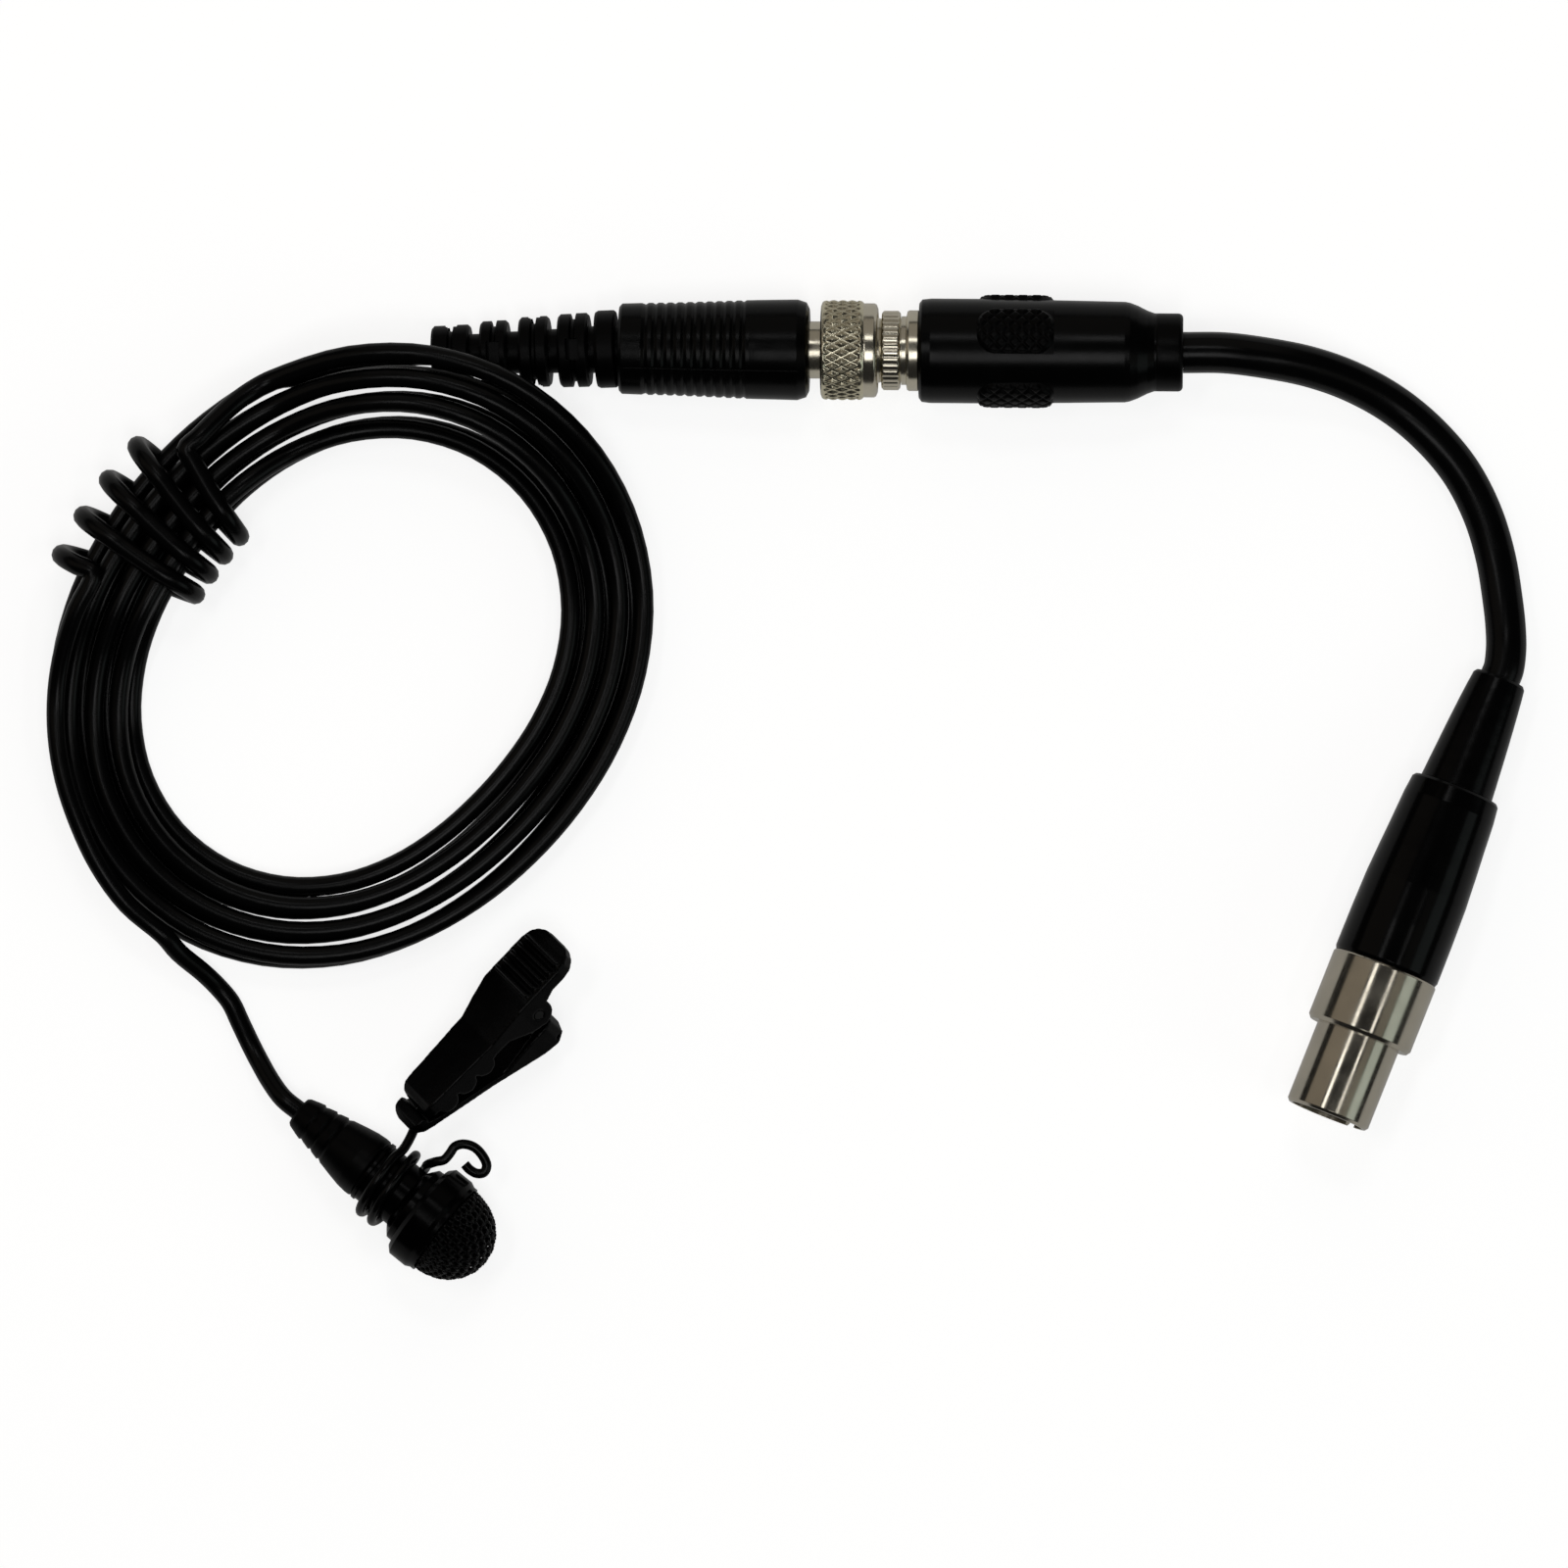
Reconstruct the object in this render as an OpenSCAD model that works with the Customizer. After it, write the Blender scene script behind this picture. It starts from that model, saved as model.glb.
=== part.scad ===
// Lavalier microphone: head on a wire holder with a tie clip, thin lead tied into a coil,
// locking jack plug, and an adapter lead that ends in a small round connector.
// Millimetres. The head and the clip lie on the surface z = 0, with the origin below their middle.

/* [Microphone head] */
// Length of the head from the boot's tip to the crown of the grille
head_len = 24.6; // [24:0.1:26]
// Outer radius of the grille collar
collar_r = 5.45; // [5.2:0.05:5.6]
// Length of the grille collar
collar_len = 3.4; // [2.8:0.1:4]
// Radius of the groove that the holder wire turns in
groove_r = 3.3; // [3.1:0.05:3.4]
// Radius of the electret capsule
capsule_r = 3.0; // [2.6:0.05:3.1]
// Thickness of the electret capsule
capsule_t = 2.6; // [2:0.1:2.8]
// Wall of the grille
grille_wall = 0.5; // [0.4:0.05:0.7]
// Length of the boot
boot_len = 9.6; // [9:0.1:9.8]
// Radius of the boot's large end
boot_r = 3.45; // [3.3:0.05:3.5]

/* [Clip] */
// Length of the upper jaw with its thumb lever
lever_len = 22.3; // [21:0.1:24]
// Half the width of the clip at its hinge
clip_half_w = 3.75; // [3.6:0.05:4]
// Wall of the two jaws
jaw_wall = 0.8; // [0.7:0.05:0.9]
// Radius of the hinge pin
hinge_pin_r = 0.5; // [0.4:0.05:0.6]
// Number of teeth on each side of the upper jaw
teeth = 3; // [2:1:3]
// Radius of a tooth
tooth_r = 1.25; // [1.1:0.05:1.3]
// Number of thumb ribs
thumb_ribs = 5; // [3:1:5]
// Diameter of the holder's spring wire
holder_wire_d = 1.0; // [0.8:0.05:1]
// Radius of the holder's turns at the middle of the wire
holder_turn_r = 4.0; // [3.95:0.05:4.2]
// Distance from one turn of the holder to the next
holder_pitch = 1.5; // [1.4:0.05:1.6]

/* [Thin lead] */
// Diameter of the thin lead
lead_d = 2.05; // [1.8:0.05:2.1]
// Turns in the coil
coil_turns = 7; // [7:1:7]
// Distance between neighbouring turns of one layer
coil_pitch = 2.55; // [2.5:0.05:2.6]
// Height from one layer of the coil to the next
coil_layer = 2.75; // [2.7:0.05:2.9]
// Mean radius of the coil
coil_mean_r = 26.5; // [26:0.1:27]
// How far the coil is drawn out along its long side
coil_oval = 2.7; // [2.3:0.05:2.9]
// Turns of the wrap that ties the coil
wrap_turns = 4; // [3:1:4]

/* [Jack plug] */
// Length of the moulded barrel
plug_barrel_len = 19.4; // [18:0.1:21]
// Largest radius of the moulded barrel
plug_barrel_r = 5.14; // [5:0.02:5.2]
// Radius of the metal neck
neck_r = 2.92; // [2.8:0.02:3]
// Outer radius of the knurled locking nut
nut_r = 5.1; // [5:0.05:5.3]
// Length of the locking nut
nut_len = 5.8; // [5.4:0.1:6.2]
// Number of flats cut by the knurl
nut_knurls = 30; // [24:1:36]
// Radius of the plug's contacts
plug_contact_r = 1.75; // [1.7:0.01:1.8]
// Length of the plug in front of its shoulder
plug_contact_len = 14; // [13:0.1:15]

/* [Adapter] */
// Outer radius of the adapter's barrel
adapter_r = 5.33; // [5.2:0.01:5.4]
// Length of the adapter's barrel
adapter_len = 24.2; // [23:0.1:25]
// How far the grip pads stand out of the barrel
pad_proud = 0.45; // [0.3:0.05:0.5]
// Angle that each grip pad covers
pad_angle = 56; // [40:1:60]
// Outer radius of the fluted lock ring
lock_ring_r = 4.05; // [3.95:0.05:4.3]
// Number of flutes on the lock ring
flutes = 32; // [16:1:36]
// Radius of the cable gland
gland_r = 3.98; // [3.6:0.02:4.1]
// Diameter of the thick cable
cable_d = 4.2; // [4:0.05:4.3]
// Clearance between the plug and the socket's bore
socket_gap = 0.04; // [0.02:0.01:0.05]

/* [Round connector] */
// Outer radius of the connector's shell
shell_r = 5.55; // [5.4:0.01:5.6]
// Length of the wide part of the shell
shell_len = 7.5; // [7:0.1:8.5]
// Radius of the nose
nose_r = 4.4; // [4.3:0.02:4.5]
// Length of the nose
nose_len = 8.7; // [8:0.1:9.5]
// Wall of the nose
nose_wall = 0.6; // [0.5:0.05:0.7]
// Length of the gloss cover
cover_len = 19.7; // [18:0.1:21]
// Length of the flexible boot
flex_len = 12.2; // [11.5:0.1:13]
// Number of contacts
contacts = 3; // [3:1:4]
// Radius of the circle of contacts
contact_circle_r = 2.0; // [1.8:0.05:2.1]
// Travel of the latch button
latch_travel = 0.5; // [0.3:0.05:0.6]

/* [Hidden] */

$fn = 64;
eps = 0.02;           // overshoot of a cut past a face
seat = 0.03;          // gap between two pieces that seat on each other
running = 0.05;       // radial clearance of a pin or a turning part

// Places and attitudes of the sub-assemblies.
head_at = [-13.58, -0.87, 3.82];
head_yaw = -38.7;
head_tilt = 6;
clip_at = [-2.8, -0.45, 7.0];
clip_yaw = 46.6;
clip_roll = 46;
plug_at = [19.15, 76.99, 4.62];
plug_yaw = -0.47;
plug_tilt = 1.9;
connector_at = [108.75, 42.55, 4.0];
connector_yaw = -111.8;
connector_tilt = 4;
coil_at = [-8.85, 44.55];

function turn_z(a, p) = [p.x * cos(a) - p.y * sin(a), p.x * sin(a) + p.y * cos(a), p.z];
function turn_y(a, p) = [p.x * cos(a) + p.z * sin(a), p.y, p.z * cos(a) - p.x * sin(a)];
function turn_x(a, p) = [p.x, p.y * cos(a) - p.z * sin(a), p.y * sin(a) + p.z * cos(a)];
function head_point(p) = head_at + turn_z(head_yaw, turn_y(-head_tilt, p));
function clip_point(p) = clip_at + turn_z(clip_yaw, turn_x(-clip_roll, p));
function plug_point(p) = plug_at + turn_z(plug_yaw, turn_y(-plug_tilt, p));
function connector_point(p) = connector_at + turn_z(connector_yaw, turn_y(-connector_tilt, p));

module at_head() translate(head_at) rotate([0, -head_tilt, head_yaw]) children();
module at_clip() translate(clip_at) rotate([-clip_roll, 0, clip_yaw]) children();
module at_plug() translate(plug_at) rotate([0, -plug_tilt, plug_yaw]) children();
module at_connector() translate(connector_at) rotate([0, -connector_tilt, connector_yaw]) children();

// A turned piece along +X: each point of the outline is [radius, place along the axis].
module turned(outline, facets = 96) rotate([0, 90, 0]) rotate_extrude($fn = facets) polygon(outline);
module rod(r, from, to, facets = 64) translate([from, 0, 0]) rotate([0, 90, 0]) cylinder(r = r, h = to - from, $fn = facets);

// ---------------------------------------------------------------- swept tubes

function unit(v) = v / norm(v);
function tangents(p) = [for (i = [0 : len(p) - 1]) unit(p[min(i + 1, len(p) - 1)] - p[max(i - 1, 0)])];
function first_side(t) = unit(cross(t, abs(t.z) < 0.9 ? [0, 0, 1] : [1, 0, 0]));
function flatten_to(s, t) = unit(s - (s * t) * t);
function sides(t) = [
  for (i = 0, s = first_side(t[0]); i < len(t); i = i + 1, s = i < len(t) ? flatten_to(s, t[i]) : s) s
];
function spread(values) = [for (group = values, v = group) v];

// One closed tube of n flat sides along the points p.
module tube(p, d, n) {
  t = tangents(p);
  s = sides(t);
  last = (len(p) - 1) * n;
  rings = spread([
    for (i = [0 : len(p) - 1])
      [for (k = [0 : n - 1]) p[i] + d / 2 * (cos(360 * k / n) * s[i] + sin(360 * k / n) * cross(t[i], s[i]))]
  ]);
  walls = spread(spread([
    for (i = [0 : len(p) - 2])
      [for (k = [0 : n - 1])
        let (a = i * n + k, b = i * n + (k + 1) % n)
        [[a, a + n, b], [b, a + n, b + n]]]
  ]));
  start_cap = [for (k = [1 : n - 2]) [0, k, k + 1]];
  end_cap = [for (k = [1 : n - 2]) [last, last + k + 1, last + k]];
  polyhedron(points = rings, faces = concat(start_cap, walls, end_cap), convexity = 10);
}

function route_length(p) = len(p) < 2 ? 0 : [for (i = 1, s = norm(p[1] - p[0]); i < len(p); i = i + 1, s = i < len(p) ? s + norm(p[i] - p[i - 1]) : s) s][len(p) - 2];

// Least distance between points of a route that are more than `apart` steps from each other.
function least_gap(p, apart) = min([
  for (i = [0 : len(p) - 1 - apart]) min([for (j = [i + apart : len(p) - 1]) norm(p[i] - p[j])])
]);

// ---------------------------------------------------------------- microphone head

groove_from = boot_len + 0.4;
groove_to = groove_from + 4.6;
collar_from = head_len - 8.7;
dome_r = collar_r - 0.5;
flare_r = collar_r - 1.1;

// Woven wire dome: a drum inside the collar that closes in a round crown.
dome_shape = [
  [0, 0], [0.182, 0.016], [0.364, 0.071], [0.545, 0.172], [0.687, 0.293], [0.798, 0.424], [0.879, 0.566],
  [0.933, 0.707], [0.974, 0.869], [1, 1.05]
];
dome_outline = dome_r * dome_shape;
module grille() {
  rim = collar_from + collar_len - 1.4;
  inside = [for (p = dome_outline) [p.x * (dome_r - grille_wall) / dome_r, head_len - p.y - grille_wall]];
  color("#101010") at_head() turned(concat(
    [for (p = dome_outline) [p.x, head_len - p.y]],
    [[dome_r, rim], [dome_r - grille_wall, rim]],
    [for (i = [len(inside) - 1 : -1 : 0]) inside[i]]
  ));
}

// Rolled collar that holds the grille against the housing.
module grille_collar() {
  inner = dome_r + seat;
  color("#161616") at_head() turned([
    [flare_r + seat, collar_from], [collar_r - 0.5, collar_from], [collar_r, collar_from + 0.5],
    [collar_r, collar_from + collar_len - 0.9], [collar_r - 0.25, collar_from + collar_len - 0.4],
    [collar_r - 0.25, collar_from + collar_len],
    [inner, collar_from + collar_len], [inner, collar_from + 1.2], [flare_r + seat, collar_from + 1.2]
  ]);
}

// Turned body: rear cup for the boot, groove for the wire, flared neck, capsule cup.
module capsule_housing() {
  bore = capsule_r + seat;
  color("#0d0d0d") at_head() difference() {
    turned([
      [0, boot_len - 2.6], [2.2, boot_len - 2.6], [2.2, boot_len + seat], [boot_r, boot_len + seat],
      [boot_r + 0.02, groove_from], [groove_r, groove_from + 0.1], [groove_r, groove_to - 0.3],
      [groove_r + 0.4, groove_to], [flare_r - 0.05, collar_from - 0.8], [flare_r, collar_from - 0.2],
      [flare_r, collar_from + 1.6], [0, collar_from + 1.6]
    ]);
    rod(bore, collar_from + 1.6 - capsule_t, collar_from + 2);
    rod(lead_d / 2 - 0.1, boot_len - 3, collar_from + 2);
    rod(2.4, groove_from + 0.5, collar_from);
  }
}

// Can with the sound port in its front face.
module electret_capsule() {
  back = collar_from + 1.6 - capsule_t + seat;
  color("#8f8f8f") at_head() difference() {
    rod(capsule_r, back, back + capsule_t);
    rod(0.6, back + capsule_t - 0.4, back + capsule_t + eps);
    rod(capsule_r - 0.4, back + capsule_t - 0.15, back + capsule_t + eps);
  }
}

module capsule_board() {
  back = collar_from + 1.6 - capsule_t;
  color("#1f5a30") at_head() difference() {
    rod(2.3, back - 1.4, back - 0.8);
    for (side = [-1, 1]) translate([0, side * 0.9, 0]) rod(0.25, back - 1.5, back - 0.7, 24);
  }
}

module foam_disc() {
  front = collar_from + 1.6 + 2 * seat + 0.1;
  color("#2a2a2a") at_head() turned([
    [0, front], [dome_r - 0.2 - grille_wall, front], [dome_r - 0.5 - grille_wall, front + 1.6], [0, front + 2.0]
  ]);
}

// Rubber boot: slim neck with three soft rings, then a swelling cone that closes on the housing.
module head_boot() {
  color("#0b0b0b") at_head() difference() {
    turned([
      [0, 0], [1.55, 0], [1.75, 0.25], [2.05, 1.2], [2.2, 1.75], [2.05, 1.95], [2.2, 2.3], [2.42, 3.1],
      [2.25, 3.3], [2.45, 3.6], [2.66, 4.4], [2.5, 4.6], [2.75, 5.0], [3.1, 6.5], [3.36, 7.8],
      [boot_r, 8.8], [boot_r - 0.02, boot_len - 0.3], [boot_r - 0.25, boot_len], [0, boot_len]
    ]);
    rod(2.2 + seat, boot_len - 2.6 - seat, boot_len + 1);
    rod(lead_d / 2 - 0.1, boot_len - 4, boot_len);
  }
}

// ---------------------------------------------------------------- clip

hinge_x = 16.4;
hinge_z = -1.3;
ear_r = 1.6;
inner_ear_r = 1.2;
lever_end = lever_len + 1.0;
tail_x = 17.2;
floor_t = 0.65;
lower_nose_x = -1.2;
mouth_x = 5;          // middle of the jaws' teeth
mouth_z = -2.4;
plate_fall = 0.248;
function lower_bottom(x) = -2.45 - plate_fall * x;
function lower_top(x) = lower_bottom(x) + floor_t;

// Closed outline from half widths given as [x, half width].
function both_sides(half, inset) = concat(
  [for (p = half) [p.x, p.y - inset]],
  [for (i = [len(half) - 1 : -1 : 0]) [half[i].x, inset - half[i].y]]
);
upper_plan = [
  [1.0, 1.7], [1.25, 2.25], [1.8, 2.6], [2.6, 2.75], [11, 3.15], [15.3, clip_half_w],
  [lever_end - 2.4, clip_half_w], [lever_end - 1.4, clip_half_w - 0.25], [lever_end - 0.6, clip_half_w - 0.85],
  [lever_end - 0.15, clip_half_w - 1.7], [lever_end, clip_half_w - 2.6]
];
lower_plan = [
  [lower_nose_x, 1.2], [lower_nose_x + 0.25, 1.85], [lower_nose_x + 0.9, 2.3], [1.0, 2.45], [8, 2.9],
  [13.6, clip_half_w - 0.15], [tail_x - 1.4, clip_half_w - 0.15], [tail_x - 0.5, clip_half_w - 0.5],
  [tail_x, clip_half_w - 1.3]
];

module standing(h = 20) translate([0, 0, -h / 2]) linear_extrude(h) children();
module lying(w) rotate([90, 0, 0]) translate([0, 0, -w / 2]) linear_extrude(w) children();

module upper_side_outline() {
  polygon([
    [1.0, -1.6], [1.0, -0.9], [1.3, -0.35], [2.0, 0], [10.8, 0], [13, 0.55], [15.4, 1.0],
    [lever_end - 1.0, 1.0], [lever_end - 0.2, 0.8], [lever_end, 0.4], [lever_end - 0.1, -0.1],
    [lever_end - 1.2, -0.35], [19.2, -0.35], [17.8, hinge_z + 0.4], [hinge_x + ear_r, hinge_z],
    [hinge_x, hinge_z - ear_r], [14.6, -2.5], [12.4, -1.3], [10.2, -1.5], [2.2, -1.5]
  ]);
  translate([hinge_x, hinge_z]) circle(r = ear_r);
  for (i = [0 : teeth - 1]) translate([3.6 + 2.6 * i, -1.35]) circle(r = tooth_r);
}

// Pressed channel with scalloped teeth, hinge ears and a ribbed thumb lever.
module clip_upper_jaw() {
  rib_step = (lever_end - 2.0 - 17.0) / (thumb_ribs - 1);
  color("#121212") at_clip() difference() {
    union() {
      intersection() {
        lying(12) upper_side_outline();
        standing() polygon(both_sides(upper_plan, 0));
      }
      for (i = [0 : thumb_ribs - 1])
        translate([17.0 + i * rib_step, 0, 1.0]) rotate([90, 0, 0])
          cylinder(r = 0.32, h = 2 * clip_half_w - 1.2, center = true, $fn = 24);
    }
    intersection() {
      lying(12) polygon([
        [1.6, -5], [1.6, -1.0], [2.3, -jaw_wall], [10.8, -jaw_wall], [13, 0.55 - jaw_wall],
        [15.4, 1.0 - jaw_wall], [lever_end - 0.9, 1.0 - jaw_wall], [lever_end - 0.9, -5]
      ]);
      standing() polygon(both_sides(upper_plan, jaw_wall));
    }
    translate([hinge_x, 0, hinge_z]) rotate([90, 0, 0]) cylinder(r = hinge_pin_r + running, h = 20, center = true);
  }
}

// Flat tongue with a raised nose, side gussets and the inner pair of hinge ears.
module clip_lower_jaw() {
  gusset_in = clip_half_w - 0.15 - jaw_wall;
  ear_out = clip_half_w - jaw_wall - 0.25;
  shoulder = hinge_z - ear_r - 0.5;
  color("#0f0f0f") at_clip() difference() {
    union() {
      intersection() {
        lying(12) polygon([
          [lower_nose_x, -1.5], [-0.5, -0.9], [0.5, -0.9], [0.75, -1.3], [0.75, -1.75], [2.2, lower_top(2.2)],
          [tail_x - 1.0, lower_top(tail_x - 1.0)], [tail_x - 0.6, shoulder], [tail_x, shoulder],
          [tail_x, -5.2], [tail_x - 0.5, -5.9], [tail_x - 1.6, lower_bottom(tail_x - 2)],
          [14.5, lower_bottom(14.5)], [0, lower_bottom(0)], [lower_nose_x, -2.0]
        ]);
        standing() polygon(both_sides(lower_plan, 0));
      }
      intersection() {
        difference() {
          lying(12) polygon([
            [9.5, lower_bottom(9.5) + 0.1], [9.5, lower_top(9.5) + 0.02], [13.6, shoulder], [tail_x - 0.2, shoulder],
            [tail_x - 0.2, -5.2], [14.5, lower_bottom(14.5) + 0.1]
          ]);
          lying(2 * gusset_in) square([60, 60], center = true);
        }
        standing() polygon(both_sides(lower_plan, 0));
      }
      difference() {
        lying(2 * ear_out) union() {
          translate([hinge_x, hinge_z]) circle(r = inner_ear_r);
          polygon([
            [hinge_x - inner_ear_r, hinge_z], [hinge_x + inner_ear_r - 0.4, hinge_z],
            [tail_x - 0.3, shoulder], [tail_x - 0.3, -5.0], [13.4, lower_bottom(13.4) + 0.2], [14.2, shoulder]
          ]);
        }
        lying(2 * (ear_out - jaw_wall)) square([60, 60], center = true);
      }
      lying(2 * (gusset_in + 0.1)) polygon([
        [13.0, lower_bottom(13) + 0.1], [13.0, lower_top(13)], [tail_x - 0.4, lower_top(tail_x - 0.4)],
        [tail_x - 0.4, lower_bottom(15)], [14.5, lower_bottom(14.5) + 0.1]
      ]);
    }
    translate([hinge_x, 0, hinge_z]) rotate([90, 0, 0]) cylinder(r = hinge_pin_r + running, h = 20, center = true);
  }
}

module clip_hinge_pin() {
  color("#3a3a3a") at_clip() translate([hinge_x, 0, hinge_z]) rotate([90, 0, 0])
    cylinder(r = hinge_pin_r, h = 2 * clip_half_w, center = true, $fn = 48);
}

// Torsion spring on the hinge pin: one leg under the thumb lever, one on the tail of the lower jaw.
spring_turns = 3;
spring_r = 0.97;
spring_wire_d = 0.3;
spring_pitch = 0.78;
spring_points = concat(
  [clip_point([20.2, -1.2, 1.0 - jaw_wall - 0.2]), clip_point([18.4, -1.2, 1.0 - jaw_wall - 0.24])],
  [for (i = [0 : 8 * spring_turns + 3])
    let (a = 90 - 45 * i)
    clip_point([hinge_x + spring_r * cos(a), spring_pitch * (i / 8) - 1.2, hinge_z + spring_r * sin(a)])],
  [clip_point([hinge_x - 0.15, 1.35, -3.5]), clip_point([hinge_x - 0.3, 1.35, -4.8])]
);
module clip_spring() {
  color("#777777") tube(spring_points, spring_wire_d, 6);
}

// One piece of spring wire: pin in the clip's nose, stem, turns round the head, hook lever.
holder_from = groove_from + 0.9;
holder_join = 50;
holder_steps = 44;
function turn_point(a, x) = head_point([x, holder_turn_r * cos(a), holder_turn_r * sin(a)]);
holder_points = concat(
  [clip_point([1.0, 0, -2.0]), clip_point([-0.3, -0.1, -2.1]), [-1.75, -2.45, 5.75], [-2.25, -3.7, 6.3],
    [-2.95, -4.8, 7.15]],
  [for (i = [0 : holder_steps])
    let (a = holder_join + 15 * i)
    turn_point(a, holder_from + holder_pitch * (a - holder_join) / 360)],
  [
    [0.45, -5.95, 6.4], [1.3, -5.75, 6.6], [1.9, -5.1, 6.6], [2.4, -4.4, 6.6], [3.25, -4.15, 6.5], [4.35, -4.45, 6.4],
    [5.2, -5.3, 6.3], [5.65, -6.35, 6.2], [5.35, -7.05, 6.15], [4.65, -7.15, 6.1], [3.9, -6.75, 6.1],
    [3.4, -6.2, 6.1]
  ]
);
module holder_wire() {
  color("#151515") tube(holder_points, holder_wire_d, 8);
}

// ---------------------------------------------------------------- thin lead

half_stack = (coil_turns - 0.5) / 4 * coil_pitch;
coil_start = 104;
boot_hump = 6.4;
boot_hump_at = 68;
wrap_at = 126;
wrap_step = 8.4;
wrap_r = 4.0;
wrap_flat = half_stack - 1.16;
wrap_mid = wrap_at + wrap_step * wrap_turns / 2;
wrap_hump = lead_d / 2 + wrap_r - lead_d / 2 - coil_layer / 2 + 0.03;
steps = 24;

// Smooth rise and fall: 1 within `flat` degrees of the middle, 0 beyond `flat + fall`.
function hump(a, middle, flat, fall) =
  let (d = abs(((a - middle + 540) % 360) - 180))
  d <= flat ? 1 : d >= flat + fall ? 0 : (1 + cos(180 * (d - flat) / fall)) / 2;
function ramp(x) = x <= 0 ? 0 : x >= 1 ? 1 : x * x * (3 - 2 * x);

function bundle_r(a) = coil_mean_r + 0.64 * cos(a - 46) + coil_oval * cos(2 * (a - 50));
function bundle_rise(a, off, z) =
  boot_hump * hump(a, boot_hump_at, 8, 45) * ramp((off + 1.9 + 1.7 * ramp((z - lead_d / 2) / coil_layer)) / 2.6)
  + wrap_hump * hump(a, wrap_mid, 18, 30);
function bundle_point(a, off, z) = let (r = bundle_r(a) + off)
  [coil_at.x + r * cos(a), coil_at.y + r * sin(a), z + bundle_rise(a, off, z)];

// In with the lower layer, up a layer in the half turn where the spiral reverses, out again.
inward = (coil_turns - 0.5) / 2;
function coil_offset(t) =
  t < inward ? half_stack - coil_pitch * t
  : t < inward + 0.5 ? let (u = t - inward) -half_stack - coil_pitch * u + 2 * coil_pitch * u * u
  : -half_stack + coil_pitch * (t - inward - 0.5);
function coil_height(t) = lead_d / 2 + coil_layer * (t < inward ? 0 : t < inward + 0.5 ? 2 * (t - inward) : 1);
coil_points = [
  for (i = [0 : coil_turns * steps])
    let (t = i / steps)
    bundle_point(coil_start + 360 * t, coil_offset(t), coil_height(t))
];

// Section of the wrap: two straight runs joined by half circles, w in turns.
function wrap_section(w) =
  let (f = w - floor(w), run = 0.22, side = 0.28)
  f < run ? [wrap_flat - 2 * wrap_flat * f / run, wrap_r]
  : f < run + side ? let (b = 90 + 180 * (f - run) / side) [-wrap_flat + wrap_r * cos(b), wrap_r * sin(b)]
  : f < 2 * run + side ? [-wrap_flat + 2 * wrap_flat * (f - run - side) / run, -wrap_r]
  : let (b = -90 + 180 * (f - 2 * run - side) / side) [wrap_flat + wrap_r * cos(b), wrap_r * sin(b)];
bundle_mid = lead_d / 2 + coil_layer / 2;
top_slot = coil_height(coil_turns);
wrap_lead_in = [
  for (i = [1 : 5])
    let (s = i / 6, a = coil_start + (wrap_at - coil_start) * s)
    bundle_point(a, half_stack + (wrap_flat - half_stack) * ramp(s * 1.1 - 0.1), top_slot + (bundle_mid + wrap_r - top_slot) * ramp(s * 1.1))
];
wrap_loops = [
  for (i = [0 : wrap_turns * steps])
    let (w = i / steps, c = wrap_section(w))
    bundle_point(wrap_at + wrap_step * w, c.x, bundle_mid + c.y)
];
wrap_end_a = wrap_at + wrap_step * wrap_turns;
lead_out_a = 236;
wrap_lead_out = [
  for (i = [1 : 9])
    let (s = i / 9, a = wrap_end_a + (lead_out_a - wrap_end_a) * s, leave = ramp((a - 205) / (lead_out_a - 205)))
    bundle_point(a, wrap_flat + (3.4 + 1.2 * leave - wrap_flat) * ramp(s * 3),
      bundle_mid + wrap_r + (top_slot + 2.1 - 1.25 * leave - bundle_mid - wrap_r) * ramp(s * 3))
];
wrap_points = concat([coil_points[len(coil_points) - 1]], wrap_lead_in, wrap_loops, wrap_lead_out);

// Hand-laid stretches between the coil and the two moulded boots.
head_lead_points = concat(
  [wrap_points[len(wrap_points) - 1]],
  [
    [-25.85, 15.3, 3.6], [-23.5, 13.3, 2.3], [-22.0, 11.8, 1.4], [-20.7, 10.2, 1.08], [-19.7, 8.1, 1.06],
    [-18.7, 6.0, 1.15],
    [-17.7, 4.1, 1.6], [-16.5, 2.1, 2.6]
  ],
  [head_point([-lead_d, 0, 0]), head_point([0, 0, 0])]
);
plug_relief_tip = plug_point([-19.1, -0.8, -0.9]);
plug_lead_points = concat(
  [plug_relief_tip, plug_relief_tip + [-lead_d, -0.04, -0.1]],
  [[-5.0, 75.55, 2.75], [-9.6, 75.1, 2.8], [-13.2, 74.2, 2.95]],
  [coil_points[0]]
);

module cable_coil() {
  color("#0e0e0e") tube(coil_points, lead_d, 6);
}
module cable_wrap() {
  color("#0e0e0e") tube(wrap_points, lead_d, 6);
}
module head_lead() {
  color("#0e0e0e") tube(head_lead_points, lead_d, 8);
}
module plug_lead() {
  color("#0e0e0e") tube(plug_lead_points, lead_d, 8);
}

echo(coil_gap = least_gap(coil_points, 12) - lead_d);
echo(wrap_gap = least_gap(wrap_points, 10) - lead_d);
echo(coil_to_wrap_gap = min([for (p = wrap_loops) min([for (q = coil_points) norm(p - q)])]) - lead_d);
echo(thin_lead_length = route_length(coil_points) + route_length(wrap_points) + route_length(head_lead_points) + route_length(plug_lead_points));

// ---------------------------------------------------------------- jack plug

relief_tilt = 2.7;
relief_yaw = 2.4;
relief_bore = 2.6;
neck_from = plug_barrel_len - 4;
nut_from = plug_barrel_len + 1.2;
nut_to = nut_from + nut_len;
nut_wall_t = 1.0;
bush_r = 3.75;
shoulder_x = nut_from + nut_wall_t;
plug_end = shoulder_x + plug_contact_len;

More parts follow.
